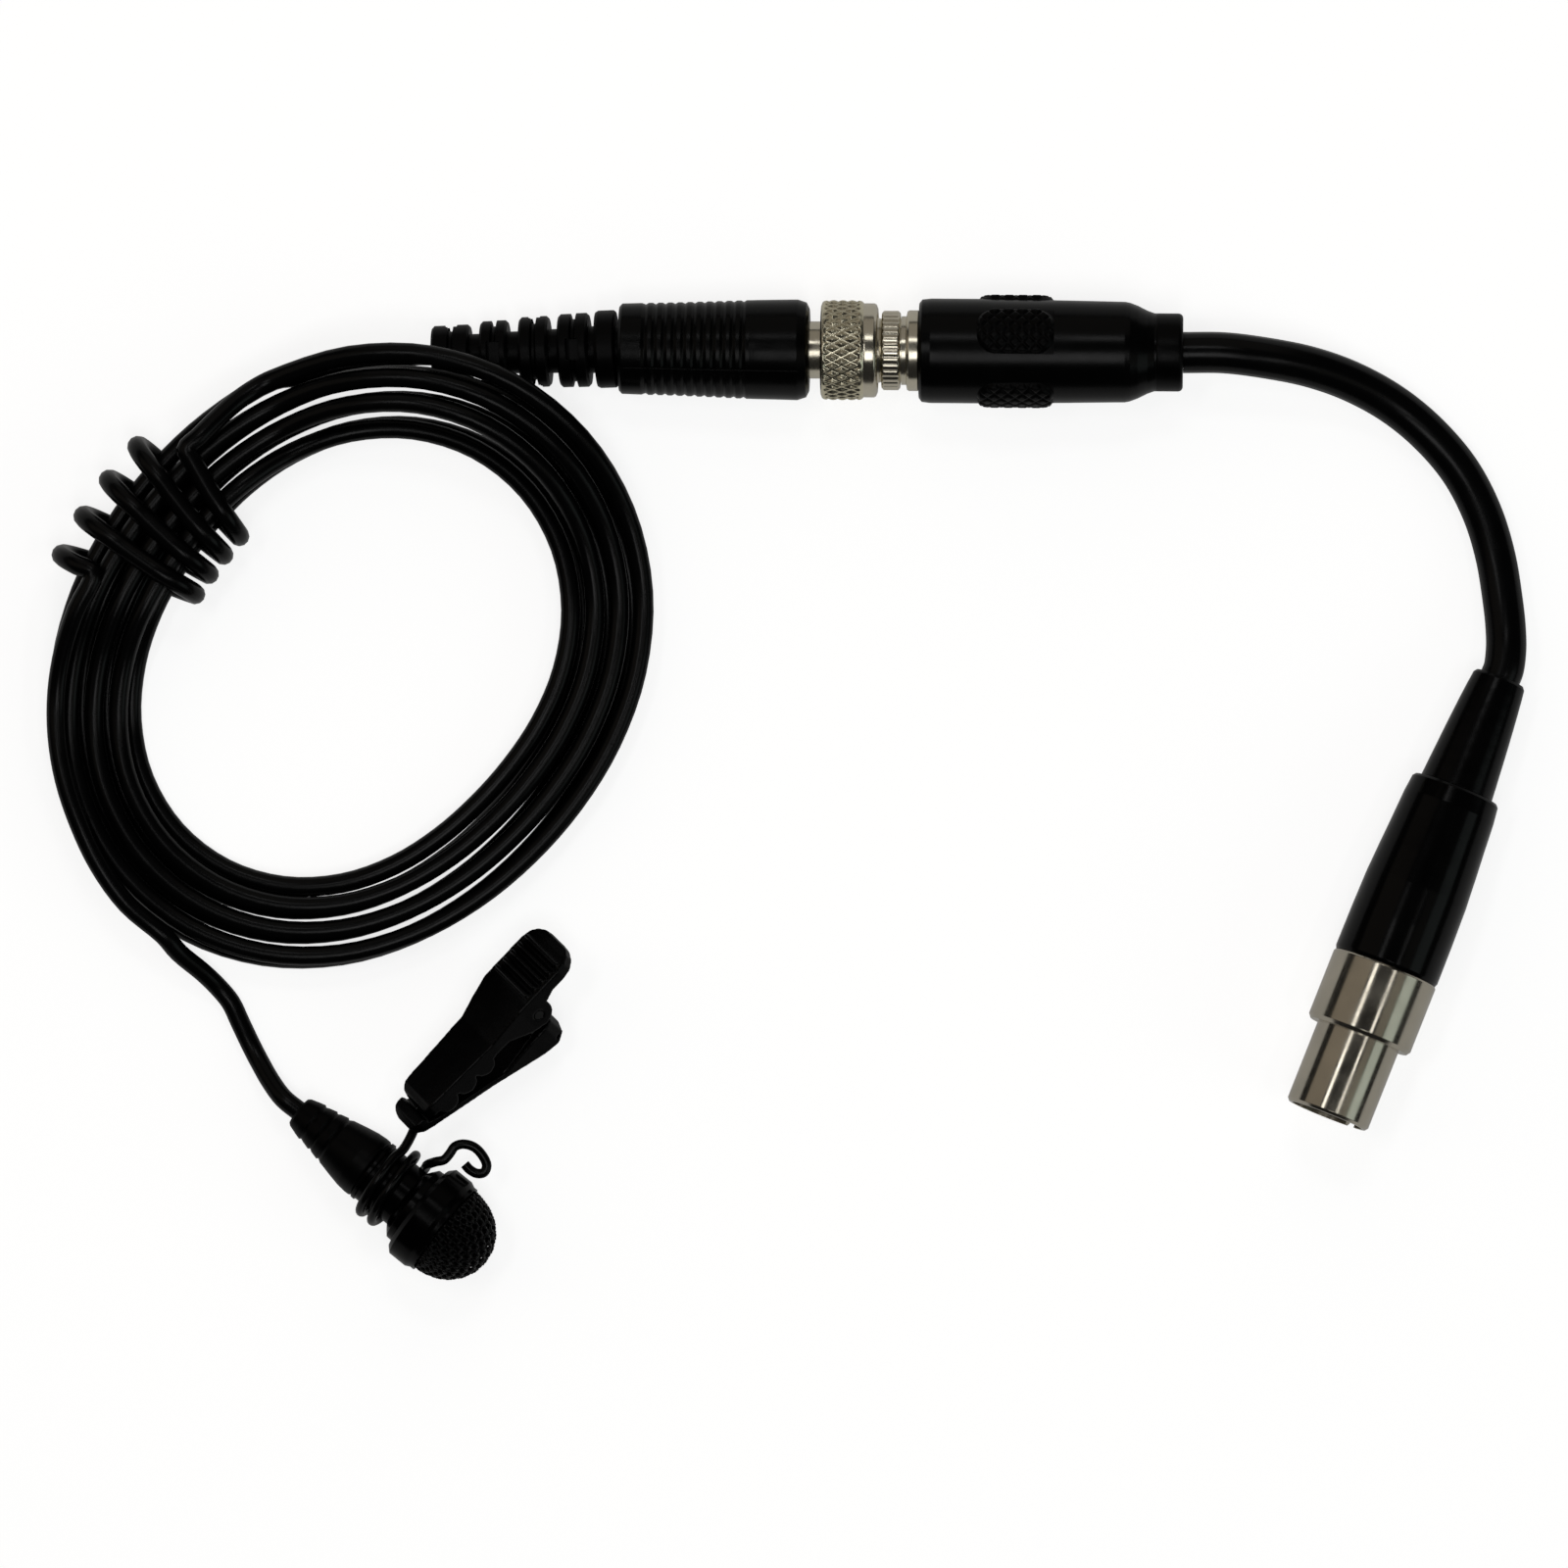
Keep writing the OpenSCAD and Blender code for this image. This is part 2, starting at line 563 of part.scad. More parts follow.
// One rib pair: two rings with a shallow groove between them.
function rib_pair(from, to, r, core) = [
  [core, from], [r - 0.25, from], [r, from + 0.25], [r, (from + to) / 2 - 0.3], [r - 0.55, (from + to) / 2 - 0.15],
  [r - 0.55, (from + to) / 2 + 0.15], [r + 0.04, (from + to) / 2 + 0.3], [r + 0.04, to - 0.25], [r - 0.2, to], [core, to]
];

// Ribbed strain relief, slotted across alternate ways so that it bends.
module plug_relief() {
  color("#0c0c0c") at_plug() rotate([0, -relief_tilt, relief_yaw]) difference() {
    turned(concat(
      [[0, -19.1], [1.9, -19.1]],
      rib_pair(-19.1, -15.2, 3.0, 1.9),
      [[2.05, -15.2]],
      rib_pair(-14.1, -11.3, 3.3, 2.05),
      [[2.15, -11.3]],
      rib_pair(-10.1, -7.1, 3.58, 2.15),
      [[2.25, -7.1]],
      rib_pair(-6.1, -3.0, 3.74, 2.25),
      [[2.4, -3.0], [2.4, -2.3], [3.8, -2.3], [3.96, -2.0], [3.96, -0.45], [3.8, -0.25], [2.3, -0.25], [2.3, 2.6], [0, 2.6]]
    ));
    for (i = [0 : 3])
      rotate([i % 2 == 0 ? 0 : 90, 0, 0])
        for (side = [-1, 1])
          translate([[-17.15, -12.7, -8.6, -4.55][i], side * 3.1, 0]) cube([1.3, 1.5, 2.2], center = true);
  }
}

// Moulded grip: smooth rear band, fine turned rings, smooth front.
module plug_barrel() {
  rings = 11;
  ring_step = 1.0;
  ring_from = 2.7;
  function grip_r(x) = 4.66 + (plug_barrel_r - 4.66) * ramp(x / 19);
  color("#0b0b0b") at_plug() difference() {
    turned(concat(
      [[0, 0], [4.3, 0], [4.62, 0.3], [grip_r(2.3), 2.3]],
      [for (i = [0 : rings - 1], k = [0 : 2])
        let (x = ring_from + ring_step * i)
        [[grip_r(x) - 0.16, x], [grip_r(x) + 0.02, x + 0.3], [grip_r(x) + 0.02, x + 0.7]][k]],
      [[grip_r(14), 14], [plug_barrel_r, 18.2 * plug_barrel_len / 19.4], [plug_barrel_r - 0.3, plug_barrel_len - 0.3],
        [plug_barrel_r - 0.9, plug_barrel_len], [0, plug_barrel_len]]
    ));
    rod(relief_bore, -eps, 3.0);
    rod(neck_r - 0.4 + seat, neck_from - 0.5, plug_barrel_len + eps);
    rod(1.2, -eps, plug_barrel_len);
  }
}

// Metal neck: root inside the barrel, collar that the nut turns on, shoulder at the nut's inner face.
module plug_neck() {
  color("#b9b4a6") at_plug() difference() {
    turned([
      [0, neck_from], [neck_r - 0.4, neck_from], [neck_r - 0.4, plug_barrel_len + seat],
      [neck_r, plug_barrel_len + seat], [neck_r, shoulder_x + running], [neck_r + 0.55, shoulder_x + running],
      [neck_r + 0.55, shoulder_x + 0.5], [neck_r + 0.3, shoulder_x + 0.7], [0, shoulder_x + 0.7]
    ]);
    rod(1.3, neck_from - eps, shoulder_x + 1);
  }
}

// Locking nut: diamond knurl cut into its wide band, turned lip in front, threaded cup inside.
module locking_nut() {
  band_to = nut_from + 4.4;
  color("#c4bfb0") at_plug() difference() {
    turned([
      [neck_r + running, nut_from], [nut_r - 0.5, nut_from], [nut_r, nut_from + 0.4], [nut_r, band_to - 0.3],
      [nut_r - 0.3, band_to], [nut_r - 0.3, nut_to - 0.4], [nut_r - 0.8, nut_to],
      [bush_r + 0.25, nut_to], [bush_r + 0.25, shoulder_x], [neck_r + running, shoulder_x]
    ]);
    for (i = [0 : nut_knurls - 1]) rotate([360 * i / nut_knurls, 0, 0])
      translate([nut_from + 0.5, 0, nut_r + 0.12]) rotate([45, 0, 0]) cube([band_to - nut_from - 1.0, 0.4, 0.4]);
  }
}

sleeve_to = shoulder_x + 7.2;
ring_from = sleeve_to + 0.7;
ring_to = ring_from + 2.2;
tip_from = ring_to + 0.7;
module plug_sleeve() {
  color("#cfcabb") at_plug() difference() {
    rod(plug_contact_r, shoulder_x + 0.7 + eps, sleeve_to);
    rod(1.1, shoulder_x, sleeve_to + eps);
  }
}
module plug_insulators() {
  color("#111111") at_plug() for (x = [sleeve_to, ring_to]) difference() {
    rod(plug_contact_r - 0.04, x + 0.01, x + 0.69);
    rod(0.5, x - eps, x + 1);
  }
}
module plug_ring() {
  color("#cfcabb") at_plug() difference() {
    rod(plug_contact_r, ring_from, ring_to);
    rod(0.5, ring_from - eps, ring_to + eps);
  }
}
module plug_tip() {
  stem = 0.45;
  color("#cfcabb") at_plug() turned([
    [0, shoulder_x + 1.5], [stem, shoulder_x + 1.5], [stem, tip_from], [plug_contact_r, tip_from],
    [plug_contact_r, tip_from + 0.5], [1.2, tip_from + 1.0], [1.25, tip_from + 1.25],
    [plug_contact_r - 0.05, plug_end - 1.3], [1.2, plug_end - 0.5], [0.5, plug_end], [0, plug_end]
  ]);
}

// ---------------------------------------------------------------- adapter

bush_from = shoulder_x + 0.9;
lock_from = nut_to + 0.4;
lock_to = lock_from + 1.9;
flange_from = lock_to + 0.1;
barrel_from = flange_from + 1.8;
barrel_to = barrel_from + adapter_len;
gland_to = barrel_to + 2.7;
socket_r = plug_contact_r + socket_gap;
socket_to = plug_end + 2.5;
bush_in_barrel = barrel_from + 3;
// Where a leaf contact touches the plug: the tip on one side, the ring on the other.
function leaf_nose(side) = side > 0 ? plug_end - 1.6 : (ring_from + ring_to) / 2;

// Threaded bush that the nut screws on to, bored for the plug.
module socket_bush() {
  color("#bdb8a9") at_plug() difference() {
    turned([
      [0, bush_from], [bush_r - 0.3, bush_from], [bush_r, bush_from + 0.3], [bush_r, lock_from - 0.6],
      [bush_r - 0.4, lock_from - 0.5], [3.2, lock_from + 0.1], [3.2, bush_in_barrel], [0, bush_in_barrel]
    ]);
    rod(socket_r, bush_from - eps, bush_in_barrel + eps);
    translate([bush_from - eps, 0, 0]) rotate([0, 90, 0]) cylinder(r1 = socket_r + 0.5, r2 = socket_r, h = 0.6);
    for (side = [-1, 1]) let (slot_from = leaf_nose(side) - 1.1)
      translate([slot_from, side > 0 ? 1.2 : -3.3, -0.6]) cube([bush_in_barrel + eps - slot_from, 2.1, 1.2]);
  }
}

module lock_ring() {
  color("#b5b0a0") at_plug() difference() {
    turned([
      [3.2 + seat, lock_from], [lock_ring_r - 0.3, lock_from], [lock_ring_r, lock_from + 0.3],
      [lock_ring_r, lock_to - 0.3], [lock_ring_r - 0.3, lock_to], [3.2 + seat, lock_to]
    ]);
    for (i = [0 : flutes - 1]) rotate([360 * i / flutes, 0, 0])
      translate([lock_from + 0.05, 0, lock_ring_r + 0.1]) rod(0.3, 0, lock_to - lock_from - 0.1, 16);
  }
}

module adapter_flange() {
  color("#bdb8a9") at_plug() turned([
    [3.2 + seat, flange_from], [3.5, flange_from], [3.5, flange_from + 0.5], [4.0, flange_from + 0.6],
    [4.12, flange_from + 0.8], [4.12, barrel_from - 0.1], [4.0, barrel_from - seat], [3.2 + seat, barrel_from - seat]
  ]);
}

// Moulded shell, drawn in at the cable end, hollow round the socket.
module adapter_barrel() {
  color("#0b0b0b") at_plug() difference() {
    turned([
      [0, barrel_from], [adapter_r - 0.5, barrel_from], [adapter_r - 0.1, barrel_from + 0.3],
      [adapter_r, barrel_from + 1.2], [adapter_r, barrel_from + 6], [adapter_r - 0.1, barrel_from + 15],
      [adapter_r - 0.2, barrel_to - 3.2], [adapter_r - 0.3, barrel_to - 2.7], [adapter_r - 0.6, barrel_to - 1.9],
      [adapter_r - 1.1, barrel_to - 0.9], [gland_r, barrel_to - 0.2], [gland_r, barrel_to], [0, barrel_to]
    ]);
    rod(3.2 + seat, barrel_from - eps, bush_in_barrel + seat);
    rod(4.2, bush_in_barrel, barrel_to - 3.5);
    rod(gland_r - 1.2 + seat, barrel_to - 4, barrel_to + eps);
  }
}

pad_from = barrel_from + 5.9;
pad_to = pad_from + 7.9;
pad_turn = -23;       // angle of the first pad from the top
// Four soft pads with cross grooves, moulded on the barrel.
module grip_pads() {
  foot_r = adapter_r + seat;
  color("#141414") at_plug() for (k = [0 : 3]) rotate([pad_turn + 90 * k, 0, 0]) difference() {
    intersection() {
      turned([
        [foot_r, pad_from], [foot_r + pad_proud - 0.15, pad_from + 0.2], [foot_r + pad_proud, pad_from + 0.6],
        [foot_r + pad_proud, pad_to - 0.6], [foot_r + pad_proud - 0.15, pad_to - 0.2], [foot_r, pad_to]
      ]);
      rotate([0, 90, 0]) linear_extrude(pad_to + 1) polygon([
        [0, 0], [-12 * cos(pad_angle / 2), -12 * sin(pad_angle / 2)], [-12, 0],
        [-12 * cos(pad_angle / 2), 12 * sin(pad_angle / 2)]
      ]);
      linear_extrude(12) hull() for (x = [pad_from + 2.2, pad_to - 2.2])
        translate([x, 0]) circle(r = 2.55, $fn = 32);
    }
    for (i = [0 : 5]) translate([pad_from + 1.2 + i * 1.15, -5, foot_r + pad_proud - 0.12]) cube([0.35, 10, 1]);
  }
}

module socket_insulator() {
  color("#1a1a1a") at_plug() difference() {
    turned([
      [0, bush_in_barrel + seat], [4.2 - seat, bush_in_barrel + seat], [4.2 - seat, socket_to], [0, socket_to]
    ]);
    rod(socket_r + 0.1, bush_in_barrel - eps, socket_to - 1);
    for (side = [-1, 1]) translate([bush_in_barrel - eps, side > 0 ? 1.2 : -3.2, -0.6])
      cube([socket_to - bush_in_barrel - 1, 2.0, 1.2]);
  }
}

// Two leaf contacts that press on the plug's tip and ring.
module socket_springs() {
  leaf_t = 0.25;
  color("#c9a961") at_plug() for (side = [-1, 1]) lying_leaf(side, leaf_nose(side), leaf_t);
}
module lying_leaf(side, nose, leaf_t) {
  tail = socket_to - 0.8;
  near = plug_contact_r + 0.1;
  translate([0, 0, -0.45]) linear_extrude(0.9) scale([1, side]) polygon([
    [tail - 1.1, 2.7], [nose + 0.8, 2.5], [nose, near], [nose - 0.8, 2.4], [nose - 0.8, 2.4 + leaf_t],
    [nose, near + leaf_t], [nose + 0.8, 2.5 + leaf_t], [tail - 1.1, 2.7 + leaf_t]
  ]);
}

module cable_gland() {
  color("#0d0d0d") at_plug() difference() {
    turned([
      [0, barrel_to - 4.6], [gland_r - 1.2, barrel_to - 4.6], [gland_r - 1.2, barrel_to + seat], [gland_r, barrel_to + seat],
      [gland_r, gland_to - 0.3], [gland_r - 0.3, gland_to], [0, gland_to]
    ]);
    rod(1.4, barrel_to - 5, gland_to - 1.5);
  }
}

cable_points = concat(
  [plug_point([gland_to, 0, 0]), plug_point([gland_to + cable_d, 0, 0])],
  [
    [85.2, 75.95, 6.3], [89.6, 75.1, 5.4], [93.9, 73.65, 4.1], [98.2, 71.35, 2.9], [101.9, 68.35, 2.3],
    [105.1, 64.6, 2.1], [107.35, 60.3, 2.1], [108.7, 55.9, 2.2], [109.4, 51.6, 2.6], [109.7, 48.6, 3.1],
    [109.72, 46.3, 3.6]
  ],
  [connector_point([-1.9, 0, 0]), connector_point([-0.85, 0, 0])]
);
module adapter_cable() {
  color("#0d0d0d") tube(cable_points, cable_d, 8);
}
echo(thick_cable_length = route_length(cable_points));

// ---------------------------------------------------------------- round connector

flex_from = -0.85;
cover_from = flex_from + flex_len;
shell_from = cover_from + cover_len;
nose_from = shell_from + shell_len;
nose_to = nose_from + nose_len;
cover_bore = 3.4;
latch_angle = -135;
latch_w = 2.4;
latch_from = shell_from + 2.0;
latch_len = 4.0;
function flex_r(x) = 2.72 + 1.15 * pow((x - flex_from) / flex_len, 0.8);

// Soft tapering boot with a root that is held in the cover.
module connector_boot() {
  color("#101010") at_connector() difference() {
    turned(concat(
      [[0, flex_from], [2.55, flex_from], [flex_r(flex_from + 0.3), flex_from + 0.3]],
      [for (i = [1 : 8]) let (x = flex_from + flex_len * i / 8 - 0.05) [flex_r(x), x]],
      [[cover_bore - seat, cover_from], [cover_bore - seat, cover_from + 3], [0, cover_from + 3]]
    ));
    rod(2.0, cover_from - 6, cover_from + 4);
  }
}

// Gloss cover that swells towards the metal shell.
module connector_cover() {
  color("#050505") at_connector() difference() {
    turned([
      [cover_bore, cover_from + seat], [4.45, cover_from + seat], [4.68, cover_from + 0.3], [4.88, cover_from + 2],
      [5.06, cover_from + 5], [5.26, cover_from + 8], [5.44, cover_from + 11], [shell_r - 0.03, cover_from + 15],
      [shell_r, shell_from - 0.4], [shell_r - 0.15, shell_from - seat], [cover_bore, shell_from - seat]
    ]);
    rod(4.4, cover_from + 6, shell_from + eps);
  }
}

module latch_window(grow) {
  rotate([latch_angle, 0, 0]) translate([latch_from - grow, -latch_w / 2 - grow, 3.0])
    cube([latch_len + 2 * grow, latch_w + 2 * grow, 4]);
}

// Plated shell: wide grip ring, slim nose with a keyway, window for the latch.
module connector_shell() {
  color("#c2bdae") at_connector() difference() {
    turned([
      [nose_r - nose_wall, shell_from - 3.0], [4.4 - seat, shell_from - 3.0], [4.4 - seat, shell_from],
      [shell_r - 0.15, shell_from], [shell_r, shell_from + 0.2], [shell_r, nose_from - 0.4],
      [shell_r - 0.3, nose_from], [nose_r, nose_from], [nose_r, nose_to - 0.3],
      [nose_r - 0.25, nose_to], [nose_r - nose_wall, nose_to]
    ]);
    latch_window(0.12);
    rotate([latch_angle, 0, 0]) translate([nose_from + 1, -0.6, nose_r - nose_wall - 0.3]) cube([nose_len, 1.2, 2]);
  }
}

insert_to = nose_to - 0.5;
insert_from = shell_from + 1.0;
bore_mid = 8.8;       // middle of a contact's bore, past the start of the insert
contact_turn = 60;    // angle of the first contact
module contact_places() {
  for (k = [0 : contacts - 1]) rotate([contact_turn + 360 * k / contacts, 0, 0])
    translate([0, 0, contact_circle_r]) children();
}
module contact_insert() {
  color("#0a0a0a") at_connector() difference() {
    rod(nose_r - nose_wall - seat, insert_from, insert_to);
    contact_places() rod(0.62, insert_from - eps, insert_to + eps, 32);
    rotate([latch_angle, 0, 0]) translate([insert_from - 1, -1.8, 2.4]) cube([nose_from - insert_from + 2, 3.6, 4]);
  }
}
module contact_sockets() {
  color("#c8a350") at_connector() contact_places() difference() {
    rod(0.6, insert_from - 2.5, insert_to - 0.4, 32);
    rod(0.4, insert_from + 3, insert_to + eps, 24);
    translate([insert_from - 2.6, -0.35, 0.1]) cube([1.8, 0.7, 1]);
  }
}

// Button that frees the connector, on the side that faces away from the keyed flat.
module latch_button() {
  color("#b5b0a0") at_connector() intersection() {
    rotate([latch_angle, 0, 0]) translate([latch_from, -latch_w / 2, 4.2]) cube([latch_len, latch_w, 4]);
    turned([
      [0, latch_from - 1], [shell_r + 0.15, latch_from], [shell_r + 0.6, latch_from + 0.7],
      [shell_r + 0.6, latch_from + latch_len - 0.7], [shell_r + 0.15, latch_from + latch_len], [0, latch_from + latch_len + 1]
    ]);
  }
}

// Leaf spring under the button.
module latch_spring() {
  color("#9a968a") at_connector() rotate([latch_angle, 0, 0]) translate([0, 0.8, 0]) rotate([90, 0, 0]) linear_extrude(1.6)
    polygon([
      [latch_from - 1.4, 2.45], [latch_from + 0.8, 2.45], [latch_from + 2.6, 3.5], [latch_from + 3.6, 3.5],
      [latch_from + 3.6, 3.3], [latch_from + 2.7, 3.3], [latch_from + 0.9, 2.42], [latch_from - 1.4, 2.42]
    ]);
}

module cable_clamp() {
  color("#8a8678") at_connector() difference() {
    rod(4.3, cover_from + 6.5, cover_from + 11.5);
    rod(cable_d / 2, cover_from + 6, cover_from + 12);
    translate([cover_from + 6, -0.4, 0]) cube([6, 0.8, 6]);
    translate([cover_from + 8, -6, -6]) cube([2, 12, 3.2]);
  }
}

echo(head_axis = unit(head_point([1, 0, 0]) - head_at), head_at = head_at);
echo(jaw_pivot = clip_point([hinge_x, 0, hinge_z]), jaw_axis = clip_point([0, 1, 0]) - clip_at);
echo(plug_axis = plug_point([1, 0, 0]) - plug_at, nut_at = plug_point([nut_from, 0, 0]));
echo(
  latch_dir = connector_point(turn_x(latch_angle, [0, 0, -1])) - connector_at,
  nose_at = connector_point([(nose_from + nose_to) / 2, 0, 0]),
  connector_axis = connector_point([1, 0, 0]) - connector_at
);

for (k = [0 : contacts - 1])
  let (turn = contact_turn + 360 * k / contacts)
    echo(contact_at = connector_point(turn_x(turn, [insert_from + bore_mid, 0, contact_circle_r])));
echo(mouth_at = clip_point([mouth_x, 0, mouth_z]), mouth_dir = clip_point([-1, 0, 0]) - clip_at);

grille();
grille_collar();
capsule_housing();
electret_capsule();
capsule_board();
foam_disc();
head_boot();
clip_lower_jaw();
clip_upper_jaw();
clip_hinge_pin();
clip_spring();
holder_wire();
head_lead();
cable_coil();
cable_wrap();
plug_lead();
plug_relief();
plug_barrel();
plug_neck();
locking_nut();
plug_sleeve();
plug_insulators();
plug_ring();
plug_tip();
socket_bush();
lock_ring();
adapter_flange();
adapter_barrel();
grip_pads();
socket_insulator();
socket_springs();
cable_gland();
adapter_cable();
connector_boot();
connector_cover();
connector_shell();
contact_insert();
contact_sockets();
latch_button();
latch_spring();
cable_clamp();
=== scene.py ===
"""Looks of a lavalier microphone: head, clip, coiled lead, locking plug and adapter lead."""

import logging
import math
from dataclasses import dataclass, field
from enum import Enum
from typing import Callable, Sequence

import bpy
import numpy as np
from mathutils import Euler, Matrix, Vector


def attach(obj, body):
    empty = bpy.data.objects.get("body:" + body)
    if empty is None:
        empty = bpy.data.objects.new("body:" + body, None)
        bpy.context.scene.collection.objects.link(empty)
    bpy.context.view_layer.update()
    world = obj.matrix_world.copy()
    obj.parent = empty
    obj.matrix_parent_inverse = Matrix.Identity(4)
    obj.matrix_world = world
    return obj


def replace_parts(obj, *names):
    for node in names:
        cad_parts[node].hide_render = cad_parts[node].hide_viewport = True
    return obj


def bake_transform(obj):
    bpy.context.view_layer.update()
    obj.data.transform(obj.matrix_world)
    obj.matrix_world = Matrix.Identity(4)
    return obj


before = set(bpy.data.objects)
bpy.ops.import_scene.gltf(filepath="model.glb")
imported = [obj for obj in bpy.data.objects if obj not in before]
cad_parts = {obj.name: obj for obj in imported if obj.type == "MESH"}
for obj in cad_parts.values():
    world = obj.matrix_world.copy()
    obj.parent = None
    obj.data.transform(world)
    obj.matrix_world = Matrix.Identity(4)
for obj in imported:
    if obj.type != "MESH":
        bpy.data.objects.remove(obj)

LOG = logging.getLogger("scene")
MM = 0.001
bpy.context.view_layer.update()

COAT_ROUGHNESS = 0.08
NOISE_MIDDLE = (0.32, 0.68)
BLOTCH_MM = 5.0
SMEAR_MM = 2.4

Point = tuple[float, float, float]


# ------------------------------------------------------------------ places shared with part.scad


@dataclass(frozen=True)
class Seat:
    """A sub-assembly's own frame, in millimetres and degrees, as part.scad places it."""

    at: Point
    yaw: float
    tilt: float = 0.0
    roll: float = 0.0

    def matrix(self) -> Matrix:
        """Return the frame as a matrix in metres."""
        turn = Euler((math.radians(-self.roll), math.radians(-self.tilt), math.radians(self.yaw)), "XYZ")
        return Matrix.Translation(Vector(self.at) * MM) @ turn.to_matrix().to_4x4()

    def point(self, x: float, y: float, z: float) -> Vector:
        """Return a point of the frame, given in millimetres, in the row frame in metres."""
        return self.matrix() @ (Vector((x, y, z)) * MM)


HEAD = Seat((-13.58, -0.87, 3.82), -38.7, tilt=6.0)
CLIP = Seat((-2.8, -0.45, 7.0), 46.6, roll=46.0)
PLUG = Seat((19.15, 76.99, 4.62), -0.47, tilt=1.9)
CONNECTOR = Seat((108.75, 42.55, 4.0), -111.8, tilt=4.0)


# ------------------------------------------------------------------ finishes


class Grain(Enum):
    """Kinds of fine surface relief."""

    CLOUD = "cloud"
    TURNED = "turned"
    DRAWN = "drawn"


@dataclass(frozen=True)
class Finish:
    """One procedural finish. Lengths are in millimetres."""

    name: str
    colour: Point
    roughness: float
    metallic: float = 0.0
    coat: float = 0.0
    specular: float = 0.5
    grain: Grain = Grain.CLOUD
    grain_mm: float = 0.12
    relief_mm: float = 0.004
    spread: float = 0.12
    mottle: float = 0.25
    edge_mm: float = 0.0
    seat: Seat | None = None

    def material(self) -> bpy.types.Material:
        """Build the node material, or return the one built before."""
        title = f"finish_{self.name}"
        known = bpy.data.materials.get(title)
        if known is not None:
            return known
        made = bpy.data.materials.new(title)
        made.use_nodes = True
        tree = made.node_tree
        shader = tree.nodes["Principled BSDF"]
        shader.inputs["Metallic"].default_value = self.metallic
        shader.inputs["Coat Weight"].default_value = self.coat
        shader.inputs["Coat Roughness"].default_value = COAT_ROUGHNESS
        shader.inputs["Specular IOR Level"].default_value = self.specular
        place = self._place(tree)
        self._colour(tree, shader, place)
        self._roughness(tree, shader, place)
        self._relief(tree, shader, place)
        return made

    def _place(self, tree: bpy.types.NodeTree) -> bpy.types.NodeSocket:
        """Return texture coordinates in metres, turned so that X runs along the finish's seat.

        Args:
            tree: the material's nodes.

        Returns:
            The vector socket to sample textures with.
        """
        coordinates = tree.nodes.new("ShaderNodeTexCoord")
        if self.seat is None:
            return coordinates.outputs["Object"]
        turn = tree.nodes.new("ShaderNodeMapping")
        turn.vector_type = "TEXTURE"
        turn.inputs["Location"].default_value = self.seat.matrix().to_translation()
        turn.inputs["Rotation"].default_value = self.seat.matrix().to_euler()
        tree.links.new(coordinates.outputs["Object"], turn.inputs["Vector"])
        return turn.outputs["Vector"]

    @staticmethod
    def _noise(
        tree: bpy.types.NodeTree,
        place: bpy.types.NodeSocket,
        period_mm: float,
        detail: float,
        along: Point = (1, 1, 1),
    ) -> bpy.types.NodeSocket:
        """Return a noise from 0 to 1.

        Args:
            tree: the material's nodes.
            place: the coordinates, in metres.
            period_mm: size of one blotch.
            detail: octaves.
            along: how strongly the noise changes along each axis.

        Returns:
            The noise's factor socket.
        """
        scaled = tree.nodes.new("ShaderNodeVectorMath")
        scaled.operation = "MULTIPLY"
        scaled.inputs[1].default_value = along
        noise = tree.nodes.new("ShaderNodeTexNoise")
        noise.inputs["Scale"].default_value = 1.0 / (period_mm * MM)
        noise.inputs["Detail"].default_value = detail
        tree.links.new(place, scaled.inputs[0])
        tree.links.new(scaled.outputs["Vector"], noise.inputs["Vector"])
        return noise.outputs["Fac"]

    @staticmethod
    def _ranged(
        tree: bpy.types.NodeTree, value: bpy.types.NodeSocket, low: float, high: float
    ) -> bpy.types.NodeSocket:
        """Return a noise's middle stretched to run from low to high."""
        ranged = tree.nodes.new("ShaderNodeMapRange")
        ranged.inputs["From Min"].default_value, ranged.inputs["From Max"].default_value = NOISE_MIDDLE
        ranged.inputs["To Min"].default_value = low
        ranged.inputs["To Max"].default_value = high
        tree.links.new(value, ranged.inputs["Value"])
        return ranged.outputs["Result"]

    def _colour(
        self, tree: bpy.types.NodeTree, shader: bpy.types.ShaderNode, place: bpy.types.NodeSocket
    ) -> None:
        """Give the base colour broad, faint blotches."""
        blotches = self._noise(tree, place, BLOTCH_MM, 4.0)
        factor = self._ranged(tree, blotches, 1.0 - self.mottle, 1.0 + self.mottle)
        scale = tree.nodes.new("ShaderNodeVectorMath")
        scale.operation = "SCALE"
        scale.inputs[0].default_value = self.colour
        tree.links.new(factor, scale.inputs["Scale"])
        tree.links.new(scale.outputs["Vector"], shader.inputs["Base Color"])

    def _roughness(
        self, tree: bpy.types.NodeTree, shader: bpy.types.ShaderNode, place: bpy.types.NodeSocket
    ) -> None:
        """Vary the roughness as handling does: smears of a few millimetres over a fine speckle."""
        low, high = self.roughness * (1 - self.spread), self.roughness * (1 + self.spread)
        smear = self._ranged(tree, self._noise(tree, place, SMEAR_MM, 6.0), low, high)
        tree.links.new(smear, shader.inputs["Roughness"])

